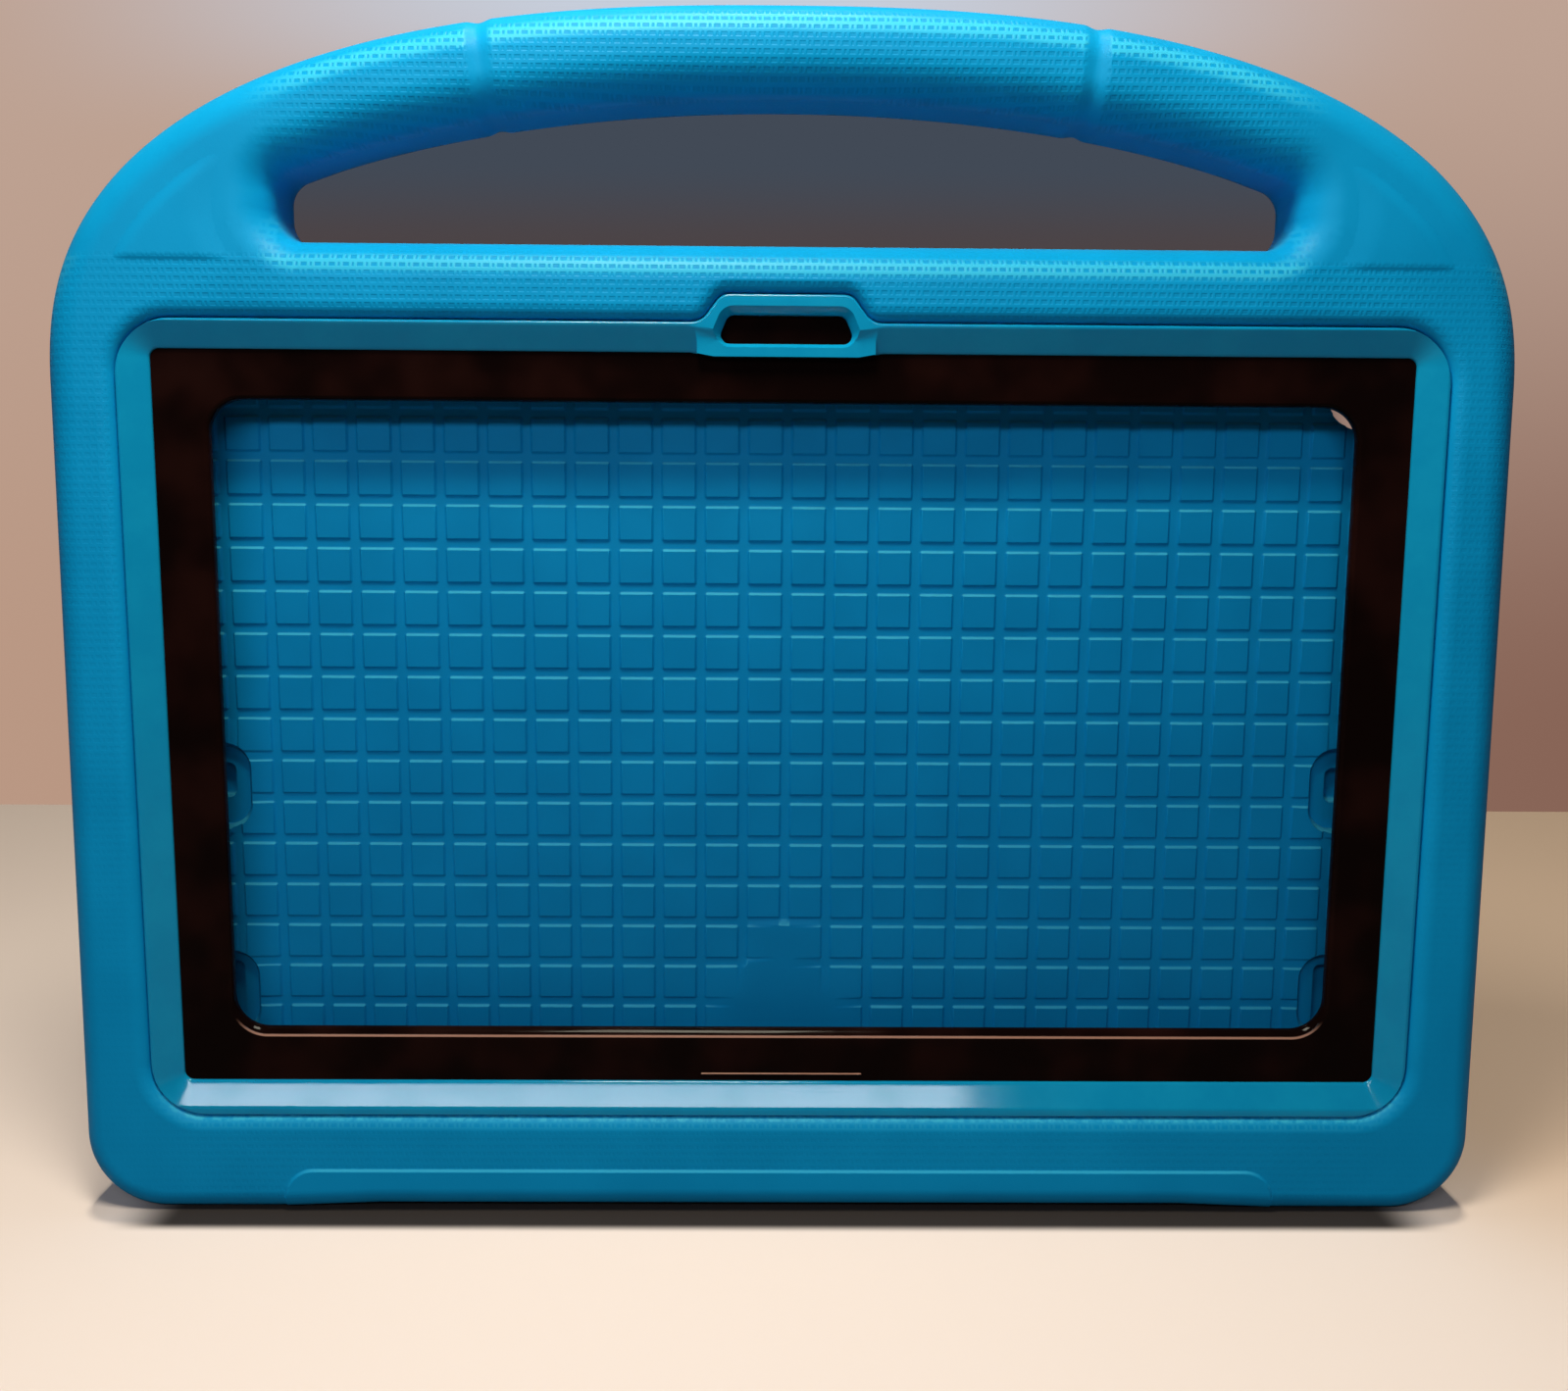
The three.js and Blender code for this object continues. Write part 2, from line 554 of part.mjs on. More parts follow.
function foamBody(material) {
  let body = roundedBody(bodyOutline(), FRONT_Y, REAR_Y).subtract(gripCutter());
  for (const side of [-1, 1]) body = body.subtract(gripGroove(side));
  body = body.add(webPads()).add(chinBand()).subtract(pocketCutter());
  for (const port of eachPort(portCutter)) body = body.subtract(port);
  return toMesh('foam_case', body.subtract(waffleCutter()).subtract(cameraCutter()), material);
}

// A cutter with straight sloping sides: wide at the front, and true to its outline behind the slope.
function chamferCutter(outline, width, depth) {
  const lead = FRAME_DROP;
  return loft([
    at(FRAME_FRONT_Y - lead, grow(outline, width * (1 + lead / depth))),
    at(FRAME_FRONT_Y + depth, outline),
    at(FRAME_REAR_Y + OVERSHOOT, outline),
  ]);
}

function frontFrame(material) {
  const outer = frameOutline();
  const flange = grow(outer, FLANGE_REACH);
  const blank = loft([
    at(FRAME_FRONT_Y, grow(outer, -FRAME_RIM_ROUND)),
    at(FRAME_FRONT_Y + FRAME_RIM_ROUND, outer),
    at(FLANGE_FRONT_Y, outer),
    at(FLANGE_FRONT_Y, flange),
    at(FRAME_REAR_Y, flange),
  ]);
  const opening = chamferCutter(frameOpeningOutline(), FRAME_CHAMFER, FRAME_THICK - FRAME_LAND);
  const hole = chamferCutter(notchHoleOutline(), NOTCH_HOLE_FLARE, NOTCH_HOLE_FLARE_DEPTH);
  return toMesh('front_frame', blank.subtract(opening).add(notchLip()).subtract(hole), material);
}

// A slim lip between the frame's opening and the notch hole, which closes the hole all round.
function notchLip() {
  const half = NOTCH_HOLE_HALF_LOW + NOTCH_RIM;
  const lipY = FRAME_FRONT_Y + NOTCH_LIP_DROP;
  return box(-half, half, lipY, FRAME_REAR_Y, OPENING_TOP_Z - NOTCH_DIP, FRAME_TOP_Z)
    .subtract(prism(frameOpeningOutline(), FRAME_FRONT_Y, FRAME_REAR_Y + OVERSHOOT));
}

function innerBezel(material) {
  const plate = prism(bezelOutline(), FRAME_REAR_Y, BEZEL_REAR_Y);
  const halfWidth = TABLET_HALF - WINDOW_COVER_SIDE;
  const highZ = TABLET_TOP_Z - WINDOW_COVER_TOP;
  const rim = rectangle(-halfWidth, halfWidth, WINDOW_LOW_Z, highZ, WINDOW_CORNER_R);
  const window = loft([
    at(FRAME_REAR_Y - WINDOW_BEVEL_DEPTH, grow(rim, WINDOW_BEVEL)),
    at(FRAME_REAR_Y + WINDOW_BEVEL_DEPTH, grow(rim, -WINDOW_BEVEL)),
    at(BEZEL_REAR_Y + OVERSHOOT, grow(rim, -WINDOW_BEVEL)),
  ]);
  const barY = FRAME_REAR_Y - BEZEL_BAR_PROUD;
  const barTopZ = WINDOW_LOW_Z - BEZEL_BAR_BELOW_WINDOW;
  const barLowZ = barTopZ - BEZEL_BAR_HEIGHT;
  const bar = box(-BEZEL_BAR_HALF, BEZEL_BAR_HALF, barY, BEZEL_REAR_Y, barLowZ, barTopZ);
  return toMesh('inner_bezel', plate.subtract(window).add(bar), material);
}

function screenFilm(material) {
  const outline = rectangle(-TABLET_HALF, TABLET_HALF, TABLET_LOW_Z, TABLET_TOP_Z, BEZEL_CORNER_R);
  return toMesh('screen_film', prism(outline, BEZEL_REAR_Y, FILM_REAR_Y), material);
}

const foamBlue = new THREE.MeshStandardMaterial({ color: 0x0f86bd, roughness: 0.62, metalness: 0 });
const frameBlue = new THREE.MeshStandardMaterial({ color: 0x1585ad, roughness: 0.35, metalness: 0 });
const bezelBlack = new THREE.MeshStandardMaterial({ color: 0x0c0909, roughness: 0.12, metalness: 0 });
const clearFilm = new THREE.MeshStandardMaterial({
  color: 0xf2f6f8, roughness: 0.05, metalness: 0, transparent: true, opacity: 0.15,
});

const tabletCase = new THREE.Group();
tabletCase.add(foamBody(foamBlue), frontFrame(frameBlue), innerBezel(bezelBlack), screenFilm(clearFilm));

export default tabletCase;
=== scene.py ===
import math

import bmesh
import bpy
import numpy as np
from mathutils import Matrix, Vector


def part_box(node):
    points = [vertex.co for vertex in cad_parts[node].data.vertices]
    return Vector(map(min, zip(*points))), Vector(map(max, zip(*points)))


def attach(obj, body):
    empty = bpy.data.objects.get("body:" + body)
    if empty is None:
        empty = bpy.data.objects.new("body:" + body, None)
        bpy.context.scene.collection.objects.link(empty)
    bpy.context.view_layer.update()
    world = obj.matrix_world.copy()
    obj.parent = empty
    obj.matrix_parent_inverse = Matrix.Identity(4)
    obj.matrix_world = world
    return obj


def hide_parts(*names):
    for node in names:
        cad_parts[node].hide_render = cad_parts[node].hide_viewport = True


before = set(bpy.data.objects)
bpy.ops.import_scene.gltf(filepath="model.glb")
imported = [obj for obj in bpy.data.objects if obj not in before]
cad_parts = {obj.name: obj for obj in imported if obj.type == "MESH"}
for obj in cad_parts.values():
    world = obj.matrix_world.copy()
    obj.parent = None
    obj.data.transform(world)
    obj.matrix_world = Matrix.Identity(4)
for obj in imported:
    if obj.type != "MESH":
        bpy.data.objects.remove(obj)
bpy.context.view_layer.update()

MM = 0.001


def node_box(node):
    return [[value / MM for value in corner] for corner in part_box(node)]


FOAM_LOW, FOAM_HIGH = node_box("foam_case")
FRAME_LOW, FRAME_HIGH = node_box("front_frame")
BEZEL_HIGH = node_box("inner_bezel")[1]
FILM_LOW, FILM_HIGH = node_box("screen_film")

# Places read from the frame
CASE_HALF = FOAM_HIGH[0]
CASE_TOP_Z = FOAM_HIGH[2]
PAD_Y = FOAM_LOW[1]
REAR_Y = FOAM_HIGH[1]
TABLET_HALF = FILM_HIGH[0]
TABLET_LOW_Z = FILM_LOW[2]
TABLET_TOP_Z = FILM_HIGH[2]
FRAME_FRONT_Y = FRAME_LOW[1]
FRAME_REAR_Y = FRAME_HIGH[1]
BEZEL_REAR_Y = BEZEL_HIGH[1]
FILM_REAR_Y = FILM_HIGH[1]
BEZEL_TAB_TOP_Z = BEZEL_HIGH[2]

# Sizes that the solids have too
TABLET_THICK = 8
FIT_GAP = 0.3
EDGE_ROUND = 7.5
BASE_ROUND = 4.5
BOTTOM_CORNER_R = 15.5
PAD_HEIGHT = 0.4
FOOT_LIFT = 0.8
FOOT_INNER_X = 80
FOOT_RAMP = 20
CHIN_LINE_Z = 9.3
CHIN_LINE_HALF = 98.5
ARCH_RISE = 70.8
ARCH_POWER = 2.5
HANDLE_BAR = 16.5
TOP_BAR = 14.5
GRIP_HALF_LENGTH = 94.9
GRIP_CURVE_HALF = 125
GRIP_CURVE_RISE = 42
GRIP_LOW_CORNER_R = 5.5
GRIP_HIGH_CORNER_R = 4.5
GROOVE_X = 56
GROOVE_TILT = math.radians(5)
WEB_BELOW_GRIP = 4.1
WEB_EDGE_GAP = 9
WEB_INNER_X = 74
FLANGE_REACH = 2.4
FLANGE_THICK = 1.5
FRAME_OVER_BOTTOM = 3.4
FRAME_OVER_TOP = 0.8
FRAME_CORNER_R = 10.5
FRAME_RIM_ROUND = 0.4
FRAME_BAND_SIDE = 5.5
FRAME_BAND_BOTTOM = 6.2
FRAME_BAND_TOP = 5.3
FRAME_CHAMFER = 4.8
FRAME_LAND = 0.5
FRAME_OPENING_R = 1.8
POCKET_CORNER_R = 8
NOTCH_TOP_HALF = 12
NOTCH_BASE_HALF = 15.8
NOTCH_RISE = 5.1
NOTCH_TOP_R = 3
NOTCH_BASE_R = 4
NOTCH_RIM = 3.6
NOTCH_HOLE_HALF_LOW = 13
NOTCH_HOLE_HALF_HIGH = 10.8
NOTCH_HOLE_HEIGHT = 5.2
NOTCH_HOLE_R = 1.6
NOTCH_HOLE_FLARE = 1.5
NOTCH_HOLE_FLARE_DEPTH = 1.9
NOTCH_LIP_DROP = 1
NOTCH_DIP = 0.8
NOTCH_DIP_HALF = 13.5
NOTCH_DIP_RAMP = 4.5
NOTCH_DIP_R = 3
BEZEL_CORNER_R = 4
BEZEL_TAB_HALF = 15
BEZEL_TAB_R = 2
BEZEL_TAB_FOOT_R = 0.6
WINDOW_COVER_SIDE = 13.1
WINDOW_COVER_BOTTOM = 11.6
WINDOW_COVER_TOP = 12.8
WINDOW_CORNER_R = 7.4
WINDOW_BEVEL = 0.9
WINDOW_BEVEL_DEPTH = 1.4
BEZEL_BAR_HALF = 16
BEZEL_BAR_BELOW_WINDOW = 7.2
BEZEL_BAR_HEIGHT = 0.5
BEZEL_BAR_PROUD = 0.25
BEZEL_BAR_ROUND = 0.2
LIP_ROUND = 3
LIP_ROUND_DEPTH = 2
WAFFLE_PITCH = 8.5
WAFFLE_DEPTH = 0.7
WAFFLE_COLUMNS = 28
WAFFLE_ROWS = 16
WAFFLE_SHIFT = 0.5
RECESS_COLLAR = 1.6
RECESS_REACH = 14.9
RECESS_WIDTH = 16
RECESS_CORNER_R = 4.5
RECESS_DEPTH = 2.2
SLOT_REACH = 11.9
SLOT_CORNER_R = 1.5
SLOT_DEPTH = 4.6
PORT_FRONT_WALL = 2
PORT_EDGE_R = 1.5
PORTS = [
    {"recess": 60.1, "slot": 61, "slot_width": 7},
    {"recess": 17.1, "slot": 16.6, "slot_width": 13},
]
CAMERA_FROM_SIDE = 9.7
CAMERA_FROM_TOP = 10.6
CAMERA_R = 7.5
CAMERA_FLARE = 2

# Soft edges and small forms that only the looks have
PAD_SLOPE = 1.5
PAD_EDGE_SLOPE = 4
PAD_INNER_SLOPE = 7
PAD_CLEAR = 0.1
PAD_FADE = 16
PAD_STEP = 0.5
PAD_TRIM = 1
CHIN_SLOPE = 0.8
CHIN_CORNER_R = 6
GROOVE_HALF = 2.6
GROOVE_DEPTH = 0.5
GROOVE_LINES = 13
GROOVE_START = 2
PORT_SOFT = 1.1
PORT_CURVE = 1.5
SLOT_SOFT = PORT_SOFT / 4
CHAMFER_SOFT = 0.25
WINDOW_SILL = 0.8
CAMERA_SHIFT = 0.7
SQUARE_HALF = 3.4
SQUARE_R = 0.9
SQUARE_FLANK = 0.34
SQUARE_FLANK_LINES = (-1, -0.5, 0, 0.5, 1)
WAFFLE_RIM = 1
WAFFLE_RIM_R = 0.5
WAFFLE_RIM_LINES = (-1, -0.4, 0.1, 0.6, 1.2)
PATCH_TOP = 31.9
PATCH_HEIGHT = 24
PATCH_TIP_HALF = 1.8
PATCH_LOW_HALF = 15
PATCH_CURVE = 0.85
PATCH_LONGEST = 1.2

# How finely surfaces are divided, cleaned and shaded
ARCH_STEPS = 150
GRIP_STEPS = 72
ROUND_STEPS = 9
CIRCLE_STEPS = 72
ARC_STEP = math.radians(4)
OVERSHOOT = 2
FIELD_CLEAR = 0.02
CHAMFER_STEPS = 6
MERGE_DISTANCE = 0.002
SLIVER_SIZE = 0.001
PLANE_TOLERANCE = 0.0001
SHARP_ANGLE = math.radians(38)
FLATNESS = 50
FRAME_FLATNESS = 90

# Heights and depths worked out from the values above
FRONT_Y = PAD_Y + PAD_HEIGHT
FLOOR_Y = FILM_REAR_Y + TABLET_THICK
SEAT_Y = FRAME_REAR_Y + FIT_GAP
FLANGE_FRONT_Y = FRAME_REAR_Y - FLANGE_THICK
LIP_REAR_Y = FLANGE_FRONT_Y - FIT_GAP
SHOULDER_Z = CASE_TOP_Z - ARCH_RISE
FRAME_HALF = FRAME_HIGH[0] - FLANGE_REACH
FRAME_LOW_Z = TABLET_LOW_Z - FRAME_OVER_BOTTOM
FRAME_TOP_Z = TABLET_TOP_Z + FRAME_OVER_TOP
OPENING_TOP_Z = FRAME_TOP_Z - FRAME_BAND_TOP
GRIP_LOW_Z = FRAME_TOP_Z + TOP_BAR
GRIP_HIGH_Z = CASE_TOP_Z - HANDLE_BAR
CREASE_Z = GRIP_LOW_Z - WEB_BELOW_GRIP
WINDOW_LOW_Z = TABLET_LOW_Z + WINDOW_COVER_BOTTOM
WINDOW_TOP_Z = TABLET_TOP_Z - WINDOW_COVER_TOP
WINDOW_HALF = TABLET_HALF - WINDOW_COVER_SIDE


# Outlines: rows of x, z, the outward normal's x and z, and the round of the edge at that point.
# They run anticlockwise seen from the front.
def outline_of(corners):
    rows = []
    for i, (x, z, r, edge) in enumerate(corners):
        before, after = corners[i - 1], corners[(i + 1) % len(corners)]
        angle_in = math.atan2(z - before[1], x - before[0])
        angle_out = math.atan2(after[1] - z, after[0] - x)
        turn = (angle_out - angle_in + math.pi) % (2 * math.pi) - math.pi
        if not r:
            angle, stretch = angle_in + turn / 2, 1 / math.cos(turn / 2)
            rows.append([x, z, math.sin(angle) * stretch, -math.cos(angle) * stretch, edge])
            continue
        signed, back = math.copysign(r, turn), r * math.tan(abs(turn) / 2)
        centre_x = x - math.cos(angle_in) * back - math.sin(angle_in) * signed
        centre_z = z - math.sin(angle_in) * back + math.cos(angle_in) * signed
        steps = max(3, math.ceil(abs(turn) / ARC_STEP))
        for angle in angle_in + turn * np.linspace(0, 1, steps + 1):
            nx, nz = math.sin(angle), -math.cos(angle)
            rows.append([centre_x + nx * signed, centre_z + nz * signed, nx, nz, edge])
    return np.array(rows)


def polygon(points, r=0.0, edge=0.0):
    return outline_of([(x, z, r, edge) for x, z in points])


def rectangle(left, right, low, high, r):
    return polygon([(left, low), (right, low), (right, high), (left, high)], r)


def grow(outline, by):
    grown = outline.copy()
    grown[:, :2] += outline[:, 2:4] * by
    return grown


def at(y, outline):
    return np.column_stack([outline[:, 0], np.full(len(outline), y), outline[:, 1]])


QUARTER_ROUND = [
    (1 - math.cos(angle), 1 - math.sin(angle))
    for angle in np.linspace(math.pi / 2, 0, ROUND_STEPS + 1)
]


def new_object(name, vertices, faces):
    mesh = bpy.data.meshes.new(name)
    mesh.from_pydata((np.asarray(vertices) * MM).tolist(), [], faces)
    made = bpy.data.objects.new(name, mesh)
    bpy.context.scene.collection.objects.link(made)
    bm = bmesh.new()
    bm.from_mesh(mesh)
    bmesh.ops.recalc_face_normals(bm, faces=bm.faces)
    bm.to_mesh(mesh)
    bm.free()
    return made


def loft(name, rings):
    """A closed solid through rings of points from the front to the back."""
    count = len(rings[0])
    faces = []
    for first in range(0, count * (len(rings) - 1), count):
        for k in range(count):
            a, b = first + k, first + (k + 1) % count
            faces.append((a, a + count, b + count, b))
    last = count * (len(rings) - 1)
    faces.append(tuple(range(count)))
    faces.append(tuple(range(last + count - 1, last - 1, -1)))
    return new_object(name, np.vstack(rings), faces)


def prism(name, outline, front_y, rear_y):
    return loft(name, [at(front_y, outline), at(rear_y, outline)])


def box(name, left, right, front, rear, low, high):
    return prism(name, rectangle(left, right, low, high, 0), front, rear)


def rounded_body(name, outline, front_y, rear_y):
    edge = outline[:, 4]

    def rings(face_y, inward):
        made = []
        for inset, back in QUARTER_ROUND:
            ring = at(face_y, grow(outline, 0))
            ring[:, 0] -= outline[:, 2] * inset * edge
            ring[:, 1] += inward * back * edge
            ring[:, 2] -= outline[:, 3] * inset * edge
            made.append(ring)
        return made

    return loft(name, rings(front_y, 1) + rings(rear_y, -1)[::-1])


def flared_mouth(outline, face_y, inward, flare, depth=None):
    depth = flare if depth is None else depth
    rings = [
        at(face_y + inward * back * depth, grow(outline, inset * flare))
        for inset, back in QUARTER_ROUND
    ]
    cap = rings[0].copy()
    cap[:, 1] = face_y - inward * OVERSHOOT
    return [cap] + rings


def soft_step(t):
    """From 0 to 1 with level ends."""
    t = np.clip(t, 0, 1)
    return t * t * (3 - 2 * t)


def combine(base, steps):
    """Joins and cuts base with the solids in steps, then deletes them."""
    for operation, tool in steps:
        modifier = base.modifiers.new(operation.lower(), "BOOLEAN")
        modifier.operation = operation
        modifier.solver = "MANIFOLD"
        modifier.object = tool
    graph = bpy.context.evaluated_depsgraph_get()
    mesh = bpy.data.meshes.new_from_object(base.evaluated_get(graph))
    base.modifiers.clear()
    base.data = mesh
    for _, tool in steps:
        bpy.data.objects.remove(tool)
    return base


def finish_mesh(obj, material, flatness=FLATNESS):
    """Clean, smooth shaded, with flat faces that stay flat in the shading."""
    bm = bmesh.new()
    bm.from_mesh(obj.data)
    bmesh.ops.remove_doubles(bm, verts=bm.verts, dist=MERGE_DISTANCE * MM)
    bmesh.ops.dissolve_degenerate(bm, edges=bm.edges, dist=SLIVER_SIZE * MM)
    bm.to_mesh(obj.data)
    bm.free()
    obj.data.shade_smooth()
    obj.data.set_sharp_from_angle(angle=SHARP_ANGLE)
    weighted = obj.modifiers.new("normals", "WEIGHTED_NORMAL")
    weighted.keep_sharp = True
    weighted.weight = flatness
    obj.data.materials.clear()
    obj.data.materials.append(material)
    return obj


# Foam body
def body_outline():
    corners = [
        (-CASE_HALF, 0, BOTTOM_CORNER_R, BASE_ROUND),
        (-FOOT_INNER_X - FOOT_RAMP, 0, 0, BASE_ROUND),
        (-FOOT_INNER_X, FOOT_LIFT, 0, BASE_ROUND),
        (FOOT_INNER_X, FOOT_LIFT, 0, BASE_ROUND),
        (FOOT_INNER_X + FOOT_RAMP, 0, 0, BASE_ROUND),
        (CASE_HALF, 0, BOTTOM_CORNER_R, BASE_ROUND),
    ]
    for t in np.linspace(0, math.pi, ARCH_STEPS + 1):
        across = math.copysign(abs(math.cos(t)) ** (2 / ARCH_POWER), math.cos(t))
        rise = abs(math.sin(t)) ** (2 / ARCH_POWER)
        corners.append((CASE_HALF * across, SHOULDER_Z + ARCH_RISE * rise, 0, EDGE_ROUND))
    return outline_of(corners)


def grip_curve_z(x):
    return GRIP_HIGH_Z - GRIP_CURVE_RISE * (1 - np.sqrt(1 - (x / GRIP_CURVE_HALF) ** 2))


def grip_outline():
    half = GRIP_HALF_LENGTH
    end_z = grip_curve_z(half)
    reach = half - 2 * GRIP_HIGH_CORNER_R
    corners = [
        (-half, GRIP_LOW_Z, GRIP_LOW_CORNER_R, 0),
        (half, GRIP_LOW_Z, GRIP_LOW_CORNER_R, 0),
        (half, end_z, GRIP_HIGH_CORNER_R, 0),
    ]
    corners += [(x, grip_curve_z(x), 0, 0) for x in np.linspace(reach, -reach, GRIP_STEPS + 1)]
    corners.append((-half, end_z, GRIP_HIGH_CORNER_R, 0))
    return outline_of(corners)


def grip_cutter():
    outline = grip_outline()
    front = flared_mouth(outline, FRONT_Y, 1, EDGE_ROUND)
    rear = flared_mouth(outline, REAR_Y, -1, EDGE_ROUND)[::-1]
    return loft("grip", front + rear)


def frame_outline():
    notch_z = FRAME_TOP_Z + NOTCH_RISE
    return outline_of([
        (-FRAME_HALF, FRAME_LOW_Z, FRAME_CORNER_R, 0),
        (FRAME_HALF, FRAME_LOW_Z, FRAME_CORNER_R, 0),
        (FRAME_HALF, FRAME_TOP_Z, FRAME_CORNER_R, 0),
        (NOTCH_BASE_HALF, FRAME_TOP_Z, NOTCH_BASE_R, 0),
        (NOTCH_TOP_HALF, notch_z, NOTCH_TOP_R, 0),
        (-NOTCH_TOP_HALF, notch_z, NOTCH_TOP_R, 0),
        (-NOTCH_BASE_HALF, FRAME_TOP_Z, NOTCH_BASE_R, 0),
        (-FRAME_HALF, FRAME_TOP_Z, FRAME_CORNER_R, 0),
    ])


def bezel_outline():
    return outline_of([
        (-TABLET_HALF, TABLET_LOW_Z, BEZEL_CORNER_R, 0),
        (TABLET_HALF, TABLET_LOW_Z, BEZEL_CORNER_R, 0),
        (TABLET_HALF, TABLET_TOP_Z, BEZEL_CORNER_R, 0),
        (BEZEL_TAB_HALF, TABLET_TOP_Z, BEZEL_TAB_FOOT_R, 0),
        (BEZEL_TAB_HALF, BEZEL_TAB_TOP_Z, BEZEL_TAB_R, 0),
        (-BEZEL_TAB_HALF, BEZEL_TAB_TOP_Z, BEZEL_TAB_R, 0),
        (-BEZEL_TAB_HALF, TABLET_TOP_Z, BEZEL_TAB_FOOT_R, 0),
        (-TABLET_HALF, TABLET_TOP_Z, BEZEL_CORNER_R, 0),
    ])


def pocket_cutters():
    lip = grow(frame_outline(), FIT_GAP)
    mouth = flared_mouth(lip, FRONT_Y, 1, LIP_ROUND, LIP_ROUND_DEPTH)
    pocket = rectangle(-TABLET_HALF, TABLET_HALF, TABLET_LOW_Z, TABLET_TOP_Z, POCKET_CORNER_R)
    return [
        loft("throat", mouth + [at(SEAT_Y, lip)]),
        prism("flange_groove", grow(lip, FLANGE_REACH), LIP_REAR_Y, SEAT_Y),
        prism("bezel_seat", grow(bezel_outline(), FIT_GAP), FRAME_REAR_Y, FILM_REAR_Y),
        prism("pocket", grow(pocket, FIT_GAP), FRAME_REAR_Y, FLOOR_Y),
    ]


def arch_distance(x, z):
    """How far a point lies inside the arched edge of the case, roughly."""
    across = np.abs(x) / CASE_HALF
    rise = np.maximum(z - SHOULDER_Z, 0) / ARCH_RISE
    level = (across ** ARCH_POWER + rise ** ARCH_POWER) ** (1 / ARCH_POWER)
    slope = np.hypot(across ** (ARCH_POWER - 1) / CASE_HALF, rise ** (ARCH_POWER - 1) / ARCH_RISE)
    return (1 - level) / np.maximum(slope / level ** (ARCH_POWER - 1), 1 / CASE_HALF / 2)


def grip_distance(x, z):
    """How far a point lies outside the handle opening, roughly."""
    r = GRIP_LOW_CORNER_R
    high_z = grip_curve_z(np.minimum(np.abs(x), GRIP_HALF_LENGTH))
    beside = np.maximum(np.abs(x) - GRIP_HALF_LENGTH + r, 0)
    below = np.maximum(GRIP_LOW_Z + r - z, 0)
    above = np.maximum(z - high_z + r, 0)
    return np.hypot(beside, np.maximum(below, above)) - r


def web_pad(side):
    """A smooth raised corner area beside the handle opening, as a height field."""
    xs = side * np.arange(WEB_INNER_X - PAD_FADE, CASE_HALF - EDGE_ROUND / 2, PAD_STEP)
    zs = np.arange(CREASE_Z - PAD_SLOPE, CASE_TOP_Z - EDGE_ROUND, PAD_STEP)
    gx, gz = np.meshgrid(xs, zs, indexing="ij")
    height = soft_step((gz - CREASE_Z) / PAD_SLOPE + 0.5)
    height *= soft_step((arch_distance(gx, gz) - WEB_EDGE_GAP) / PAD_EDGE_SLOPE)
    height *= soft_step((grip_distance(gx, gz) - EDGE_ROUND) / PAD_INNER_SLOPE)
    height *= soft_step((np.abs(gx) - WEB_INNER_X) / PAD_FADE)
    front = FRONT_Y + PAD_CLEAR - (PAD_HEIGHT + PAD_CLEAR) * height
    pad = height_field("web_pad", gx, gz, front, FRONT_Y + EDGE_ROUND / 2)
    inside = prism("pad_inside", grow(body_outline(), PAD_TRIM - WEB_EDGE_GAP), PAD_Y - OVERSHOOT, 0)
    opening = prism("pad_opening", grow(grip_outline(), EDGE_ROUND), PAD_Y - OVERSHOOT, 0)
    return combine(pad, [("INTERSECT", inside), ("DIFFERENCE", opening)])


def height_field(name, gx, gz, gy, flat_y):
    """A solid between the surface gy over the grid gx, gz and a flat face at flat_y."""
    count_x, count_z = gx.shape
    surface_points = np.column_stack([gx.ravel(), gy.ravel(), gz.ravel()])
    rim = [i * count_z for i in range(count_x)]
    rim += [(count_x - 1) * count_z + k for k in range(1, count_z)]
    rim += [i * count_z + count_z - 1 for i in range(count_x - 2, -1, -1)]
    rim += [k for k in range(count_z - 2, 0, -1)]
    flat = surface_points[rim].copy()
    flat[:, 1] = flat_y
    faces = [
        (i * count_z + k, (i + 1) * count_z + k, (i + 1) * count_z + k + 1, i * count_z + k + 1)
        for i in range(count_x - 1) for k in range(count_z - 1)
    ]
    first, size = len(surface_points), len(rim)
    faces += [(rim[k], rim[(k + 1) % size], first + (k + 1) % size, first + k) for k in range(size)]
    faces.append(tuple(range(first, first + size)))
    return new_object(name, np.vstack([surface_points, flat]), faces)


def cut_lines(bm, faces, place, normal):
    """Adds an edge to the faces wherever they cross the plane."""
    geometry = set(faces)
    for face in faces:
        geometry.update(face.edges)
        geometry.update(face.verts)
    bmesh.ops.bisect_plane(
        bm, geom=list(geometry), dist=PLANE_TOLERANCE * MM, plane_co=place * MM, plane_no=normal)


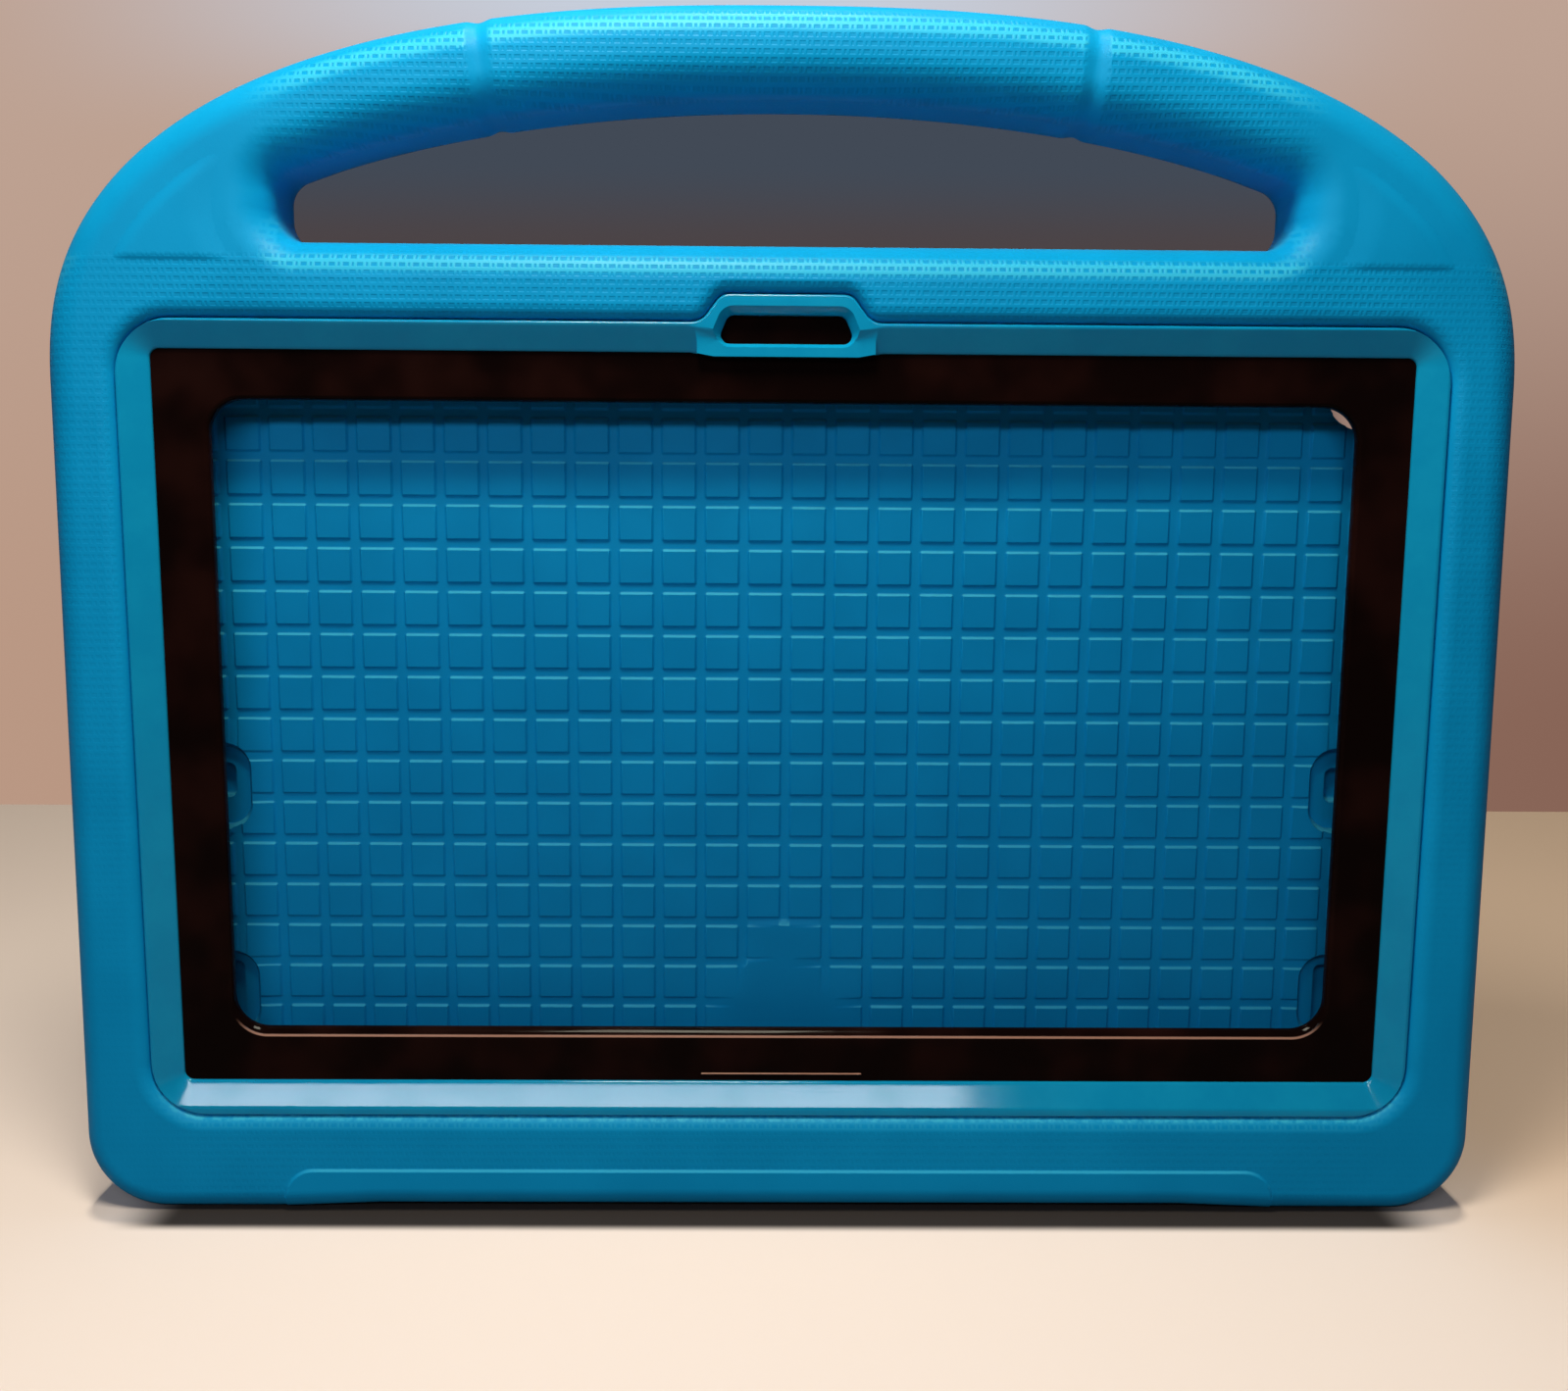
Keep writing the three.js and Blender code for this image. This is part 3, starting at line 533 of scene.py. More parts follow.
def press_grip_grooves(obj):
    """Two soft grooves round the handle bar, leaning along its curve."""
    bm = bmesh.new()
    bm.from_mesh(obj.data)
    start_z = GRIP_LOW_Z + GROOVE_START
    above_z = start_z * MM
    cut_lines(bm, list(bm.faces), Vector((0, 0, start_z)), Vector((0, 0, 1)))
    for side in (-1, 1):
        middle = Vector((side * GROOVE_X, 0, GRIP_HIGH_Z + HANDLE_BAR / 2))
        normal = Vector((math.cos(GROOVE_TILT), 0, -side * math.sin(GROOVE_TILT)))
        for offset in GROOVE_HALF * np.linspace(-1, 1, GROOVE_LINES):
            bar = [face for face in bm.faces
                   if min(vert.co.z for vert in face.verts) >= above_z - PLANE_TOLERANCE * MM]
            cut_lines(bm, bar, middle + normal * float(offset), normal)
    bm.normal_update()
    moves = []
    for vert in bm.verts:
        if vert.co.z <= above_z:
            continue
        side = math.copysign(1, vert.co.x)
        middle = Vector((side * GROOVE_X, 0, GRIP_HIGH_Z + HANDLE_BAR / 2))
        normal = Vector((math.cos(GROOVE_TILT), 0, -side * math.sin(GROOVE_TILT)))
        off = abs((vert.co / MM - middle).dot(normal)) / GROOVE_HALF
        if off < 1:
            share = (1 + math.cos(math.pi * off)) / 2
            moves.append((vert, vert.normal * GROOVE_DEPTH * share * MM))
    for vert, move in moves:
        vert.co -= move
    bmesh.ops.triangulate(bm, faces=[face for face in bm.faces if len(face.verts) > 3])
    bm.to_mesh(obj.data)
    bm.free()


def foam_body(material):
    base = rounded_body("foam_body", body_outline(), FRONT_Y, REAR_Y)
    combine(base, [("DIFFERENCE", grip_cutter())])
    press_grip_grooves(base)
    steps = [("UNION", chin_band()), ("UNION", web_pad(-1)), ("UNION", web_pad(1))]
    steps += [("DIFFERENCE", cutter) for cutter in pocket_cutters()]
    steps += [("DIFFERENCE", cutter) for cutter in port_cutters()]
    steps += [("DIFFERENCE", waffle_cutter()), ("DIFFERENCE", camera_cutter())]
    combine(base, steps)
    return finish_mesh(base, material)


def chin_band():
    """The raised band along the bottom of the front."""
    band = rectangle(-CHIN_LINE_HALF, CHIN_LINE_HALF, -CHIN_LINE_Z, CHIN_LINE_Z, CHIN_CORNER_R)
    rings = [
        at(PAD_Y + PAD_HEIGHT * soft_step(t), grow(band, CHIN_SLOPE * (t - 1)))
        for t in np.linspace(0, 1, ROUND_STEPS)
    ]
    cap = rings[0].copy()
    cap[:, 1] = PAD_Y - OVERSHOOT
    shape = loft("chin_shape", [cap] + rings + [at(FRONT_Y + BASE_ROUND, band)])
    body = rounded_body("chin_band", body_outline(), PAD_Y, REAR_Y)
    return combine(body, [("INTERSECT", shape)])


def each_port(make):
    return [make(side, port) for side in (-1, 1) for port in PORTS]


def side_plan(side, reach, height, width, end_r):
    inner = side * (TABLET_HALF - reach)
    outer = side * (CASE_HALF + end_r + OVERSHOOT)
    middle = TABLET_LOW_Z + height
    left, right = sorted([inner, outer])
    return rectangle(left, right, middle - width / 2, middle + width / 2, end_r)


def side_cutter(side, reach, height, width, end_r, depth, soft):
    """A channel through the side wall, with a softly sloping edge on the pocket's floor."""
    front, rear = FILM_REAR_Y + PORT_FRONT_WALL, FLOOR_Y + depth
    plan = side_plan(side, reach, height, width, end_r)
    mouth_y = FLOOR_Y - soft / 2
    rings = [at(front - OVERSHOOT, grow(plan, soft)), at(mouth_y, grow(plan, soft))]
    for t in np.linspace(0, 1, ROUND_STEPS)[1:]:
        left_over = (1 - soft_step(t)) ** PORT_CURVE
        rings.append(at(mouth_y + t * (depth + soft / 2), grow(plan, soft * left_over)))
    channel = loft("channel", rings)
    half_w, half_d = width / 2, (rear - front) / 2
    section = rectangle(-half_w - soft, half_w + soft, -half_d, half_d, PORT_EDGE_R)
    middle_y, middle_z = (front + rear) / 2, TABLET_LOW_Z + height
    ends = [0, side * (CASE_HALF + OVERSHOOT)]
    bar = loft("bar", [
        np.column_stack([np.full(len(section), x), middle_y + section[:, 1], middle_z + section[:, 0]])
        for x in ends
    ])
    return combine(channel, [("INTERSECT", bar)])


def port_cutters():
    recesses = each_port(lambda side, port: side_cutter(
        side, RECESS_REACH, port["recess"], RECESS_WIDTH, RECESS_CORNER_R, RECESS_DEPTH, PORT_SOFT))
    slots = each_port(lambda side, port: side_cutter(
        side, SLOT_REACH, port["slot"], port["slot_width"], SLOT_CORNER_R, SLOT_DEPTH, SLOT_SOFT))
    return recesses + slots


def camera_cutter():
    x = TABLET_HALF - CAMERA_FROM_SIDE + CAMERA_SHIFT
    z = TABLET_TOP_Z - CAMERA_FROM_TOP + CAMERA_SHIFT
    angles = np.linspace(0, 2 * math.pi, CIRCLE_STEPS, endpoint=False)
    nx, nz = np.cos(angles), np.sin(angles)
    circle = np.column_stack([x + CAMERA_R * nx, z + CAMERA_R * nz, nx, nz, 0 * nx])
    rear = flared_mouth(circle, REAR_Y, -1, CAMERA_FLARE)[::-1]
    return loft("camera", [at(FLOOR_Y - OVERSHOOT, circle)] + rear)


def rounded_box_distance(x, z, half_x, half_z, r):
    """Signed distance from a rectangle with rounded corners, negative inside."""
    dx, dz = np.abs(x) - half_x + r, np.abs(z) - half_z + r
    outside = np.hypot(np.maximum(dx, 0), np.maximum(dz, 0))
    return outside + np.minimum(np.maximum(dx, dz), 0) - r


def patch_distance(x, z):
    """How far a point lies outside the bell-shaped bare patch, roughly."""
    top = TABLET_LOW_Z + PATCH_TOP
    down = np.clip((top - z) / PATCH_HEIGHT, 0, PATCH_LONGEST)
    half = PATCH_TIP_HALF + (PATCH_LOW_HALF - PATCH_TIP_HALF) * down ** PATCH_CURVE
    return np.maximum(np.abs(x) - half, z - top)


def groove_depth(x, z):
    """Depth of the waffle pattern at a place on the pocket's floor."""
    middle_z = (TABLET_LOW_Z + TABLET_TOP_Z) / 2
    u = (x - WAFFLE_SHIFT) / WAFFLE_PITCH + WAFFLE_COLUMNS / 2
    v = (z - middle_z) / WAFFLE_PITCH + WAFFLE_ROWS / 2
    local_x = (u - np.floor(u) - 0.5) * WAFFLE_PITCH
    local_z = (v - np.floor(v) - 0.5) * WAFFLE_PITCH
    square = rounded_box_distance(local_x, local_z, SQUARE_HALF, SQUARE_HALF, SQUARE_R)
    reach_x = WAFFLE_COLUMNS / 2 * WAFFLE_PITCH + WAFFLE_RIM
    reach_z = WAFFLE_ROWS / 2 * WAFFLE_PITCH + WAFFLE_RIM
    edge = -rounded_box_distance(x - WAFFLE_SHIFT, z - middle_z, reach_x, reach_z, WAFFLE_RIM_R)
    bare = [patch_distance(x, z)]
    for side in (-1, 1):
        for port in PORTS:
            bare.append(rounded_box_distance(
                x - side * TABLET_HALF, z - TABLET_LOW_Z - port["recess"],
                RECESS_REACH + RECESS_COLLAR, RECESS_WIDTH / 2 + RECESS_COLLAR,
                RECESS_CORNER_R + RECESS_COLLAR))
    distance = np.minimum.reduce([square, edge] + bare)
    return soft_step(distance / (2 * SQUARE_FLANK) + 0.5)


def waffle_lines(count, shift):
    """Grid lines across the pattern, close together on the flanks of the squares."""
    offsets = SQUARE_HALF + SQUARE_FLANK * np.array(SQUARE_FLANK_LINES)
    middles = shift + WAFFLE_PITCH * (np.arange(count) - (count - 1) / 2)
    lines = [middle + sign * offset for middle in middles for sign in (-1, 1) for offset in offsets]
    edge = WAFFLE_PITCH * count / 2
    rim = edge + WAFFLE_RIM + SQUARE_FLANK * np.array(WAFFLE_RIM_LINES)
    return np.array(sorted(lines + [shift + far for far in rim] + [shift - far for far in rim]))


def waffle_cutter():
    """Everything in front of the waffle pattern's grooves."""
    xs = waffle_lines(WAFFLE_COLUMNS, WAFFLE_SHIFT)
    zs = waffle_lines(WAFFLE_ROWS, (TABLET_LOW_Z + TABLET_TOP_Z) / 2)
    gx, gz = np.meshgrid(xs, zs, indexing="ij")
    rear = FLOOR_Y - FIELD_CLEAR + (WAFFLE_DEPTH + FIELD_CLEAR) * groove_depth(gx, gz)
    return height_field("waffle", gx, gz, rear, FLOOR_Y - OVERSHOOT)


# Front frame
def opening_outline():
    half = FRAME_HALF - FRAME_BAND_SIDE
    low_z = FRAME_LOW_Z + FRAME_BAND_BOTTOM
    dip_z = OPENING_TOP_Z - NOTCH_DIP
    return outline_of([
        (-half, low_z, FRAME_OPENING_R, 0),
        (half, low_z, FRAME_OPENING_R, 0),
        (half, OPENING_TOP_Z, FRAME_OPENING_R, 0),
        (NOTCH_DIP_HALF + NOTCH_DIP_RAMP, OPENING_TOP_Z, NOTCH_DIP_R, 0),
        (NOTCH_DIP_HALF, dip_z, NOTCH_DIP_R, 0),
        (-NOTCH_DIP_HALF, dip_z, NOTCH_DIP_R, 0),
        (-NOTCH_DIP_HALF - NOTCH_DIP_RAMP, OPENING_TOP_Z, NOTCH_DIP_R, 0),
        (-half, OPENING_TOP_Z, FRAME_OPENING_R, 0),
    ])


def notch_hole_outline():
    high_z = FRAME_TOP_Z + NOTCH_RISE - NOTCH_RIM
    low_z = high_z - NOTCH_HOLE_HEIGHT
    return polygon([
        (-NOTCH_HOLE_HALF_LOW, low_z), (NOTCH_HOLE_HALF_LOW, low_z),
        (NOTCH_HOLE_HALF_HIGH, high_z), (-NOTCH_HOLE_HALF_HIGH, high_z),
    ], NOTCH_HOLE_R)


def chamfer_cutter(name, outline, width, depth, soft):
    """A cutter with sloping sides and a small round where the slope meets the straight wall."""
    lead = FRAME_FRONT_Y - FRONT_Y
    slope = width / depth
    rings = [at(FRAME_FRONT_Y - lead, grow(outline, width + lead * slope))]
    for t in np.linspace(0, 1, CHAMFER_STEPS):
        y = depth - soft + 2 * soft * t
        rings.append(at(FRAME_FRONT_Y + y, grow(outline, slope * soft * (1 - t) ** 2)))
    rings.append(at(FRAME_REAR_Y + OVERSHOOT, outline))
    return loft(name, rings)


def front_frame(material):
    outer = frame_outline()
    flange = grow(outer, FLANGE_REACH)
    rim = [
        at(FRAME_FRONT_Y + back * FRAME_RIM_ROUND, grow(outer, -inset * FRAME_RIM_ROUND))
        for inset, back in QUARTER_ROUND
    ]
    base = loft("frame_ring", rim + [
        at(FLANGE_FRONT_Y, outer), at(FLANGE_FRONT_Y, flange), at(FRAME_REAR_Y, flange)])
    depth = FRAME_REAR_Y - FRAME_FRONT_Y - FRAME_LAND
    opening = chamfer_cutter("opening", opening_outline(), FRAME_CHAMFER, depth, CHAMFER_SOFT)
    hole = chamfer_cutter(
        "hole", notch_hole_outline(), NOTCH_HOLE_FLARE, NOTCH_HOLE_FLARE_DEPTH, CHAMFER_SOFT)
    combine(base, [("DIFFERENCE", opening), ("UNION", notch_lip()), ("DIFFERENCE", hole)])
    hold_slope_flat(base, depth)
    return finish_mesh(base, material, FRAME_FLATNESS)


def hold_slope_flat(obj, depth):
    """Adds edges near both ends of the slope, so that smooth shading bends only beyond them."""
    bm = bmesh.new()
    bm.from_mesh(obj.data)
    for y in (FRAME_FRONT_Y + CHAMFER_SOFT, FRAME_FRONT_Y + depth - 2 * CHAMFER_SOFT):
        cut_lines(bm, list(bm.faces), Vector((0, y, 0)), Vector((0, 1, 0)))
    bm.to_mesh(obj.data)
    bm.free()


def notch_lip():
    half = NOTCH_HOLE_HALF_LOW + NOTCH_RIM
    lip = box("lip", -half, half, FRAME_FRONT_Y + NOTCH_LIP_DROP, FRAME_REAR_Y,
              OPENING_TOP_Z - NOTCH_DIP, FRAME_TOP_Z)
    opening = prism("lip_opening", opening_outline(), FRAME_FRONT_Y, FRAME_REAR_Y + OVERSHOOT)
    return combine(lip, [("DIFFERENCE", opening)])


# Black bezel behind the frame
def inner_bezel(material):
    base = prism("bezel_plate", bezel_outline(), FRAME_REAR_Y, BEZEL_REAR_Y)
    rim = rectangle(-WINDOW_HALF, WINDOW_HALF, WINDOW_LOW_Z, WINDOW_TOP_Z, WINDOW_CORNER_R)
    inner = grow(rim, -WINDOW_BEVEL)
    window = flared_mouth(inner, FRAME_REAR_Y, 1, WINDOW_BEVEL, WINDOW_BEVEL_DEPTH)
    window.append(at(BEZEL_REAR_Y + OVERSHOOT, inner))
    for ring in window:
        low = ring[:, 2] < (WINDOW_LOW_Z + WINDOW_TOP_Z) / 2
        share = np.clip((ring[:, 1] - FRAME_REAR_Y) / WINDOW_BEVEL_DEPTH, 0, 1)
        ring[:, 2] += WINDOW_SILL * low * share
    bar_top = WINDOW_LOW_Z - BEZEL_BAR_BELOW_WINDOW
    bar = rectangle(
        -BEZEL_BAR_HALF, BEZEL_BAR_HALF, bar_top - BEZEL_BAR_HEIGHT, bar_top, BEZEL_BAR_ROUND)
    bar_front_y = FRAME_REAR_Y - BEZEL_BAR_PROUD
    bar_rings = [
        at(bar_front_y + back * BEZEL_BAR_ROUND, grow(bar, -inset * BEZEL_BAR_ROUND))
        for inset, back in QUARTER_ROUND
    ]
    raised = loft("bezel_bar", bar_rings + [at(BEZEL_REAR_Y - FIT_GAP, bar)])
    combine(base, [("DIFFERENCE", loft("window", window)), ("UNION", raised)])
    return finish_mesh(base, material)


# Weave and grain of the foam
WEAVE_PERIOD = 2.56
WEAVE_ROW = 1.45
WEAVE_WIDE_HALF = 0.56
WEAVE_NARROW_HALF = 0.2
WEAVE_CELL_HALF = 0.36
WEAVE_SOFT = 0.13
WEAVE_DEPTH = 0.06
GRAIN_SIZE = 0.35
GRAIN_DEPTH = 0.012

# Parts of the foam: where each one starts and ends, and its strength there if it isn't 0 and 1
POCKET_SIDES = (FRAME_HALF + 2, FRAME_HALF + 1)
POCKET_TOP = (FRAME_TOP_Z + NOTCH_RISE + 1, FRAME_TOP_Z + NOTCH_RISE)
POCKET_FRONT = (FRAME_FRONT_Y - 0.5, FRAME_FRONT_Y)
POCKET_REAR = (REAR_Y - 1, REAR_Y - 2)
GROOVE_SIDES = (GROOVE_HALF, GROOVE_HALF - 1)
GROOVE_LEVELS = (GRIP_LOW_Z, GRIP_LOW_Z + 4)
WEB_SIDES = (84, 100)
WEB_LEVELS = (CREASE_Z, CREASE_Z + 1.5)
CHIN_SIDES = (CHIN_LINE_HALF, CHIN_LINE_HALF - 2)
CHIN_LEVELS = (CHIN_LINE_Z, CHIN_LINE_Z - 1.5)
WEAVE_LEVELS = (FRAME_LOW_Z, FRAME_TOP_Z, 0.25, 1.0)
WEAVE_SIDES = (105, 128, 1.0, 0.4)
WEAVE_DEPTHS = (3.0, 5.5)
WEAVE_SLOPES = (0.78, 0.64)
# Painted highlight on the foam's upward faces: the slopes that take it, and where it lies on the low
# band, the pocket floor and the lip
HIGHLIGHT_SLOPES = (0.25, 0.65)
HIGHLIGHT_CHIN_SIDES = (CHIN_LINE_HALF, CHIN_LINE_HALF - 8, 0.0, 0.6)
HIGHLIGHT_CHIN_LEVELS = (CHIN_LINE_Z + 2, CHIN_LINE_Z + 1)
HIGHLIGHT_FLOOR_DEPTHS = (FLOOR_Y - 3, FLOOR_Y - 2)
HIGHLIGHT_LIP_DEPTHS = (FLOOR_Y - 2, FLOOR_Y - 3)
# Slopes that take the painted highlight on the weave's ridges
RIDGE_LOW_SLOPES = (0.1, 0.3)
RIDGE_HIGH_SLOPES = (0.68, 0.5)

# Looks of the pieces, with colours of 255, and noises as scale, detail and roughness
FOAM_COLOR = (8, 160, 216)
FOAM_DEEP_COLOR = (6, 155, 218)
FOAM_LIGHT_COLOR = (9, 162, 226)
# Painted shade in the weave's pits
FOAM_PIT_SHADE_COLOR = (5, 118, 172)
# Colour of the painted highlights on the foam
FOAM_HIGHLIGHT_COLOR = (70, 205, 240)
FOAM_ROUGHNESS = 0.42
FOAM_SPECULAR = 0.09
FOAM_CLOUDS = (0.05, 2.0)
FOAM_CLOUD_EDGES = (0.3, 0.7)
FOAM_GRAIN_DULLNESS = (0.3, 0.7, 0.4, 0.5)
PIT_SHADE = 0.17
# Strength of the painted highlight on the weave's ridges
RIDGE_HIGHLIGHT = 0.6
RIDGE_GLOSS = 0.1
# Noise that makes the lip's painted highlight uneven
LIP_HIGHLIGHT_NOISE = (0.9, 3.0, 0.6)
LIP_HIGHLIGHT_EDGES = (0.35, 0.65, 0.15, 0.75)

FRAME_COLOR = (10, 154, 206)
FRAME_CLEAN_COLOR = (8, 151, 204)
FRAME_SMUDGE_COLOR = (12, 158, 209)
FRAME_ROUGHNESS = 0.12
FRAME_SPECULAR = 0.45
FRAME_GRAIN = (2.2, 3.0, 0.6)
FRAME_GRAIN_DEPTH = 0.002
FRAME_SMUDGES = (0.08, 4.0, 0.65)
FRAME_SMUDGE_EDGES = (0.35, 0.7)
FRAME_SMUDGE_DULLNESS = 0.05
FRAME_CLEAN_DULLNESS = 0.08

BEZEL_COLOR = (8, 4, 4)
# Painted reddish reflection on the bezel, paler where the haze lies
BEZEL_CLEAN_REFLECTION_COLOR = (16, 6, 5)
BEZEL_HAZE_REFLECTION_COLOR = (34, 14, 11)
# Colour of the painted highlight along the window's sill
BEZEL_HIGHLIGHT_COLOR = (188, 138, 120)
BEZEL_ROUGHNESS = 0.1
BEZEL_SPECULAR = 0.07
# Noise for the bezel's haze, which dulls its gloss and paints its reflection paler
BEZEL_HAZE_AND_REFLECTION = (0.06, 2.0)
BEZEL_HAZE_AND_REFLECTION_EDGES = (0.4, 0.75)
BEZEL_HAZE_DULLNESS = 0.1
BEZEL_CLEAN_DULLNESS = 0.07
# Where the painted highlight along the sill lies
BEZEL_HIGHLIGHT_SLOPES = (0.04, 0.2)
BEZEL_HIGHLIGHT_LEVELS = (WINDOW_LOW_Z + 4, WINDOW_LOW_Z)
BEZEL_HIGHLIGHT_DEPTHS = (FRAME_REAR_Y + 0.22, FRAME_REAR_Y + 0.1)

FILM_COLOR = (240, 244, 246)
FILM_ROUGHNESS = 0.05
FILM_SPECULAR = 0.5
FILM_TINT = (0.97, 0.98, 0.99, 1)
FILM_SHEEN = (0.9, 0.9, 0.9, 1)
FILM_SMUDGES = (0.05, 4.0, 0.6)
FILM_SMUDGE_EDGES = (0.4, 0.7, 0.04, 0.16)
FILM_IOR = 1.1


def linear(red, green, blue):
    return tuple((c / 255 / 12.92) if c <= 10 else ((c / 255 + 0.055) / 1.055) ** 2.4
                 for c in (red, green, blue))


def paint(color):
    return (*linear(*color), 1)


class Nodes:
    """Adds shader nodes to one material. Values are numbers or other nodes' sockets."""

    def __init__(self, material):
        self.tree = material.node_tree
        self.shader = self.tree.nodes.get("Principled BSDF")

    def add(self, kind, output=0, inputs=(), **settings):
        node = self.tree.nodes.new(kind)
        for name, value in settings.items():
            setattr(node, name, value)
        for key, value in dict(inputs).items():
            self.feed(node.inputs[key], value)
        return node.outputs[output]

    def feed(self, socket, value):
        if isinstance(value, bpy.types.NodeSocket):
            self.tree.links.new(value, socket)
        else:
            socket.default_value = value

    def math(self, operation, *values):
        return self.add("ShaderNodeMath", inputs=enumerate(values), operation=operation)

    def ramp(self, value, start, end, low=0.0, high=1.0):
        """A smooth step from low at start to high at end."""
        span = {"Value": value, "From Min": start, "From Max": end, "To Min": low, "To Max": high}
        return self.add("ShaderNodeMapRange", inputs=span, interpolation_type="SMOOTHSTEP")

    def place(self):
        """The point's x, y and z in millimetres."""
        point = self.add("ShaderNodeTexCoord", output="Object")
        scaled = self.add("ShaderNodeVectorMath", operation="SCALE",
                          inputs={"Vector": point, "Scale": 1 / MM})
        split = self.tree.nodes.new("ShaderNodeSeparateXYZ")
        self.tree.links.new(scaled, split.inputs[0])
        return scaled, split.outputs

    def upward(self, start, end):
        """1 where the surface faces up, 0 where it faces level or down."""
        split = self.tree.nodes.new("ShaderNodeSeparateXYZ")
        normal = self.tree.nodes.new("ShaderNodeNewGeometry").outputs["Normal"]
        self.tree.links.new(normal, split.inputs[0])
        return self.ramp(split.outputs[2], start, end)

    def noise(self, vector, scale, detail=2.0, roughness=0.5):
        return self.add("ShaderNodeTexNoise", output="Fac", inputs={
            "Vector": vector, "Scale": scale, "Detail": detail, "Roughness": roughness})

    def bump(self, height, depth, normal=None):
        inputs = {"Height": height, "Distance": depth * MM, "Strength": 1.0}
        if normal is not None:
            inputs["Normal"] = normal
        return self.add("ShaderNodeBump", inputs=inputs)

    def mix_color(self, factor, first, second):
        node = self.tree.nodes.new("ShaderNodeMix")
        node.data_type = "RGBA"
        self.feed(node.inputs[0], factor)
        self.feed(node.inputs[6], first)
        self.feed(node.inputs[7], second)
        return node.outputs[2]


def new_material(name, color, roughness, specular):
    material = bpy.data.materials.new(name)
    material.use_nodes = True
    nodes = Nodes(material)
    nodes.shader.inputs["Base Color"].default_value = (*color, 1)
    nodes.shader.inputs["Roughness"].default_value = roughness
    nodes.shader.inputs["Specular IOR Level"].default_value = specular
    return material, nodes


def weave_height(nodes, x, z):
    """Rows of staggered pits, a wide one and a narrow one in turn. 1 between pits, 0 in them."""
    rows = nodes.math("DIVIDE", z, WEAVE_ROW)
    row = nodes.math("FLOOR", rows)
    across = nodes.math("ADD", nodes.math("DIVIDE", x, WEAVE_PERIOD), nodes.math("MULTIPLY", row, 0.5))
    from_wide = nodes.math("ABSOLUTE", nodes.math("SUBTRACT", nodes.math("FRACT", across), 0.5))
    from_narrow = nodes.math("SUBTRACT", 0.5, from_wide)
    up = nodes.math("ABSOLUTE", nodes.math("SUBTRACT", nodes.math("FRACT", rows), 0.5))

    def inside(distance, unit, half):
        near, far = (half - WEAVE_SOFT) / unit, (half + WEAVE_SOFT) / unit
        return nodes.ramp(distance, near, far, 1.0, 0.0)

    wide = inside(from_wide, WEAVE_PERIOD, WEAVE_WIDE_HALF)
    narrow = inside(from_narrow, WEAVE_PERIOD, WEAVE_NARROW_HALF)
    level = inside(up, WEAVE_ROW, WEAVE_CELL_HALF)
    pit = nodes.math("MULTIPLY", nodes.math("MAXIMUM", wide, narrow), level)
    return nodes.math("SUBTRACT", 1.0, pit)


def pocket_mask(nodes, x, y, z):
    """1 in the pocket, 0 elsewhere on the foam."""
    side = nodes.math("ABSOLUTE", x)
    within = nodes.math("MULTIPLY", nodes.ramp(side, *POCKET_SIDES), nodes.ramp(z, *POCKET_TOP))
    deep = nodes.math("MULTIPLY", nodes.ramp(y, *POCKET_FRONT), nodes.ramp(y, *POCKET_REAR))
    return nodes.math("MULTIPLY", within, deep)


def groove_mask(nodes, side, z):
    """1 in the two grip grooves of the handle."""
    lean = nodes.math("MULTIPLY", nodes.math("SUBTRACT", z, GRIP_HIGH_Z + HANDLE_BAR / 2),
                      math.tan(GROOVE_TILT))
    middle = nodes.math("ADD", lean, GROOVE_X)
    distance = nodes.math("ABSOLUTE", nodes.math("SUBTRACT", side, middle))
    return nodes.math("MULTIPLY", nodes.ramp(distance, *GROOVE_SIDES), nodes.ramp(z, *GROOVE_LEVELS))


def weave_mask(nodes, x, y, z, in_pocket):
    """How strongly the foam is woven: not at all on the raised areas, the low band, the grooves
    and in the pocket, and less low down and near the sides."""
    side = nodes.math("ABSOLUTE", x)
    on_web = nodes.math("MULTIPLY", nodes.ramp(side, *WEB_SIDES), nodes.ramp(z, *WEB_LEVELS))
    on_chin = nodes.math("MULTIPLY", nodes.ramp(side, *CHIN_SIDES), nodes.ramp(z, *CHIN_LEVELS))
    bare = nodes.math("MAXIMUM", nodes.math("MAXIMUM", on_web, on_chin),
                      nodes.math("MAXIMUM", in_pocket, groove_mask(nodes, side, z)))
    low = nodes.math("MULTIPLY", nodes.ramp(z, *WEAVE_LEVELS), nodes.ramp(side, *WEAVE_SIDES))
    depth = nodes.ramp(nodes.math("ABSOLUTE", y), *WEAVE_DEPTHS)
    faces = nodes.math("MULTIPLY", depth, nodes.upward(*WEAVE_SLOPES))
    kept = nodes.math("MULTIPLY", nodes.math("SUBTRACT", 1.0, bare), low)
    return nodes.math("MULTIPLY", kept, faces)


def highlight_mask(nodes, place, x, y, z, in_pocket):
    """Places for the painted highlight, which lies on their upward faces: the low band's top, the pocket
    floor and, unevenly, the lip's edge.
    """
    chin = nodes.math("MULTIPLY", nodes.ramp(z, *HIGHLIGHT_CHIN_LEVELS),
                      nodes.ramp(nodes.math("ABSOLUTE", x), *HIGHLIGHT_CHIN_SIDES))
    floor = nodes.math("MULTIPLY", in_pocket, nodes.ramp(y, *HIGHLIGHT_FLOOR_DEPTHS))
    uneven = nodes.ramp(nodes.noise(place, *LIP_HIGHLIGHT_NOISE), *LIP_HIGHLIGHT_EDGES)
    in_lip = nodes.math("MULTIPLY", in_pocket, nodes.ramp(y, *HIGHLIGHT_LIP_DEPTHS))
    lip = nodes.math("MULTIPLY", in_lip, uneven)
    return nodes.math("MAXIMUM", nodes.math("MAXIMUM", chin, floor), lip)


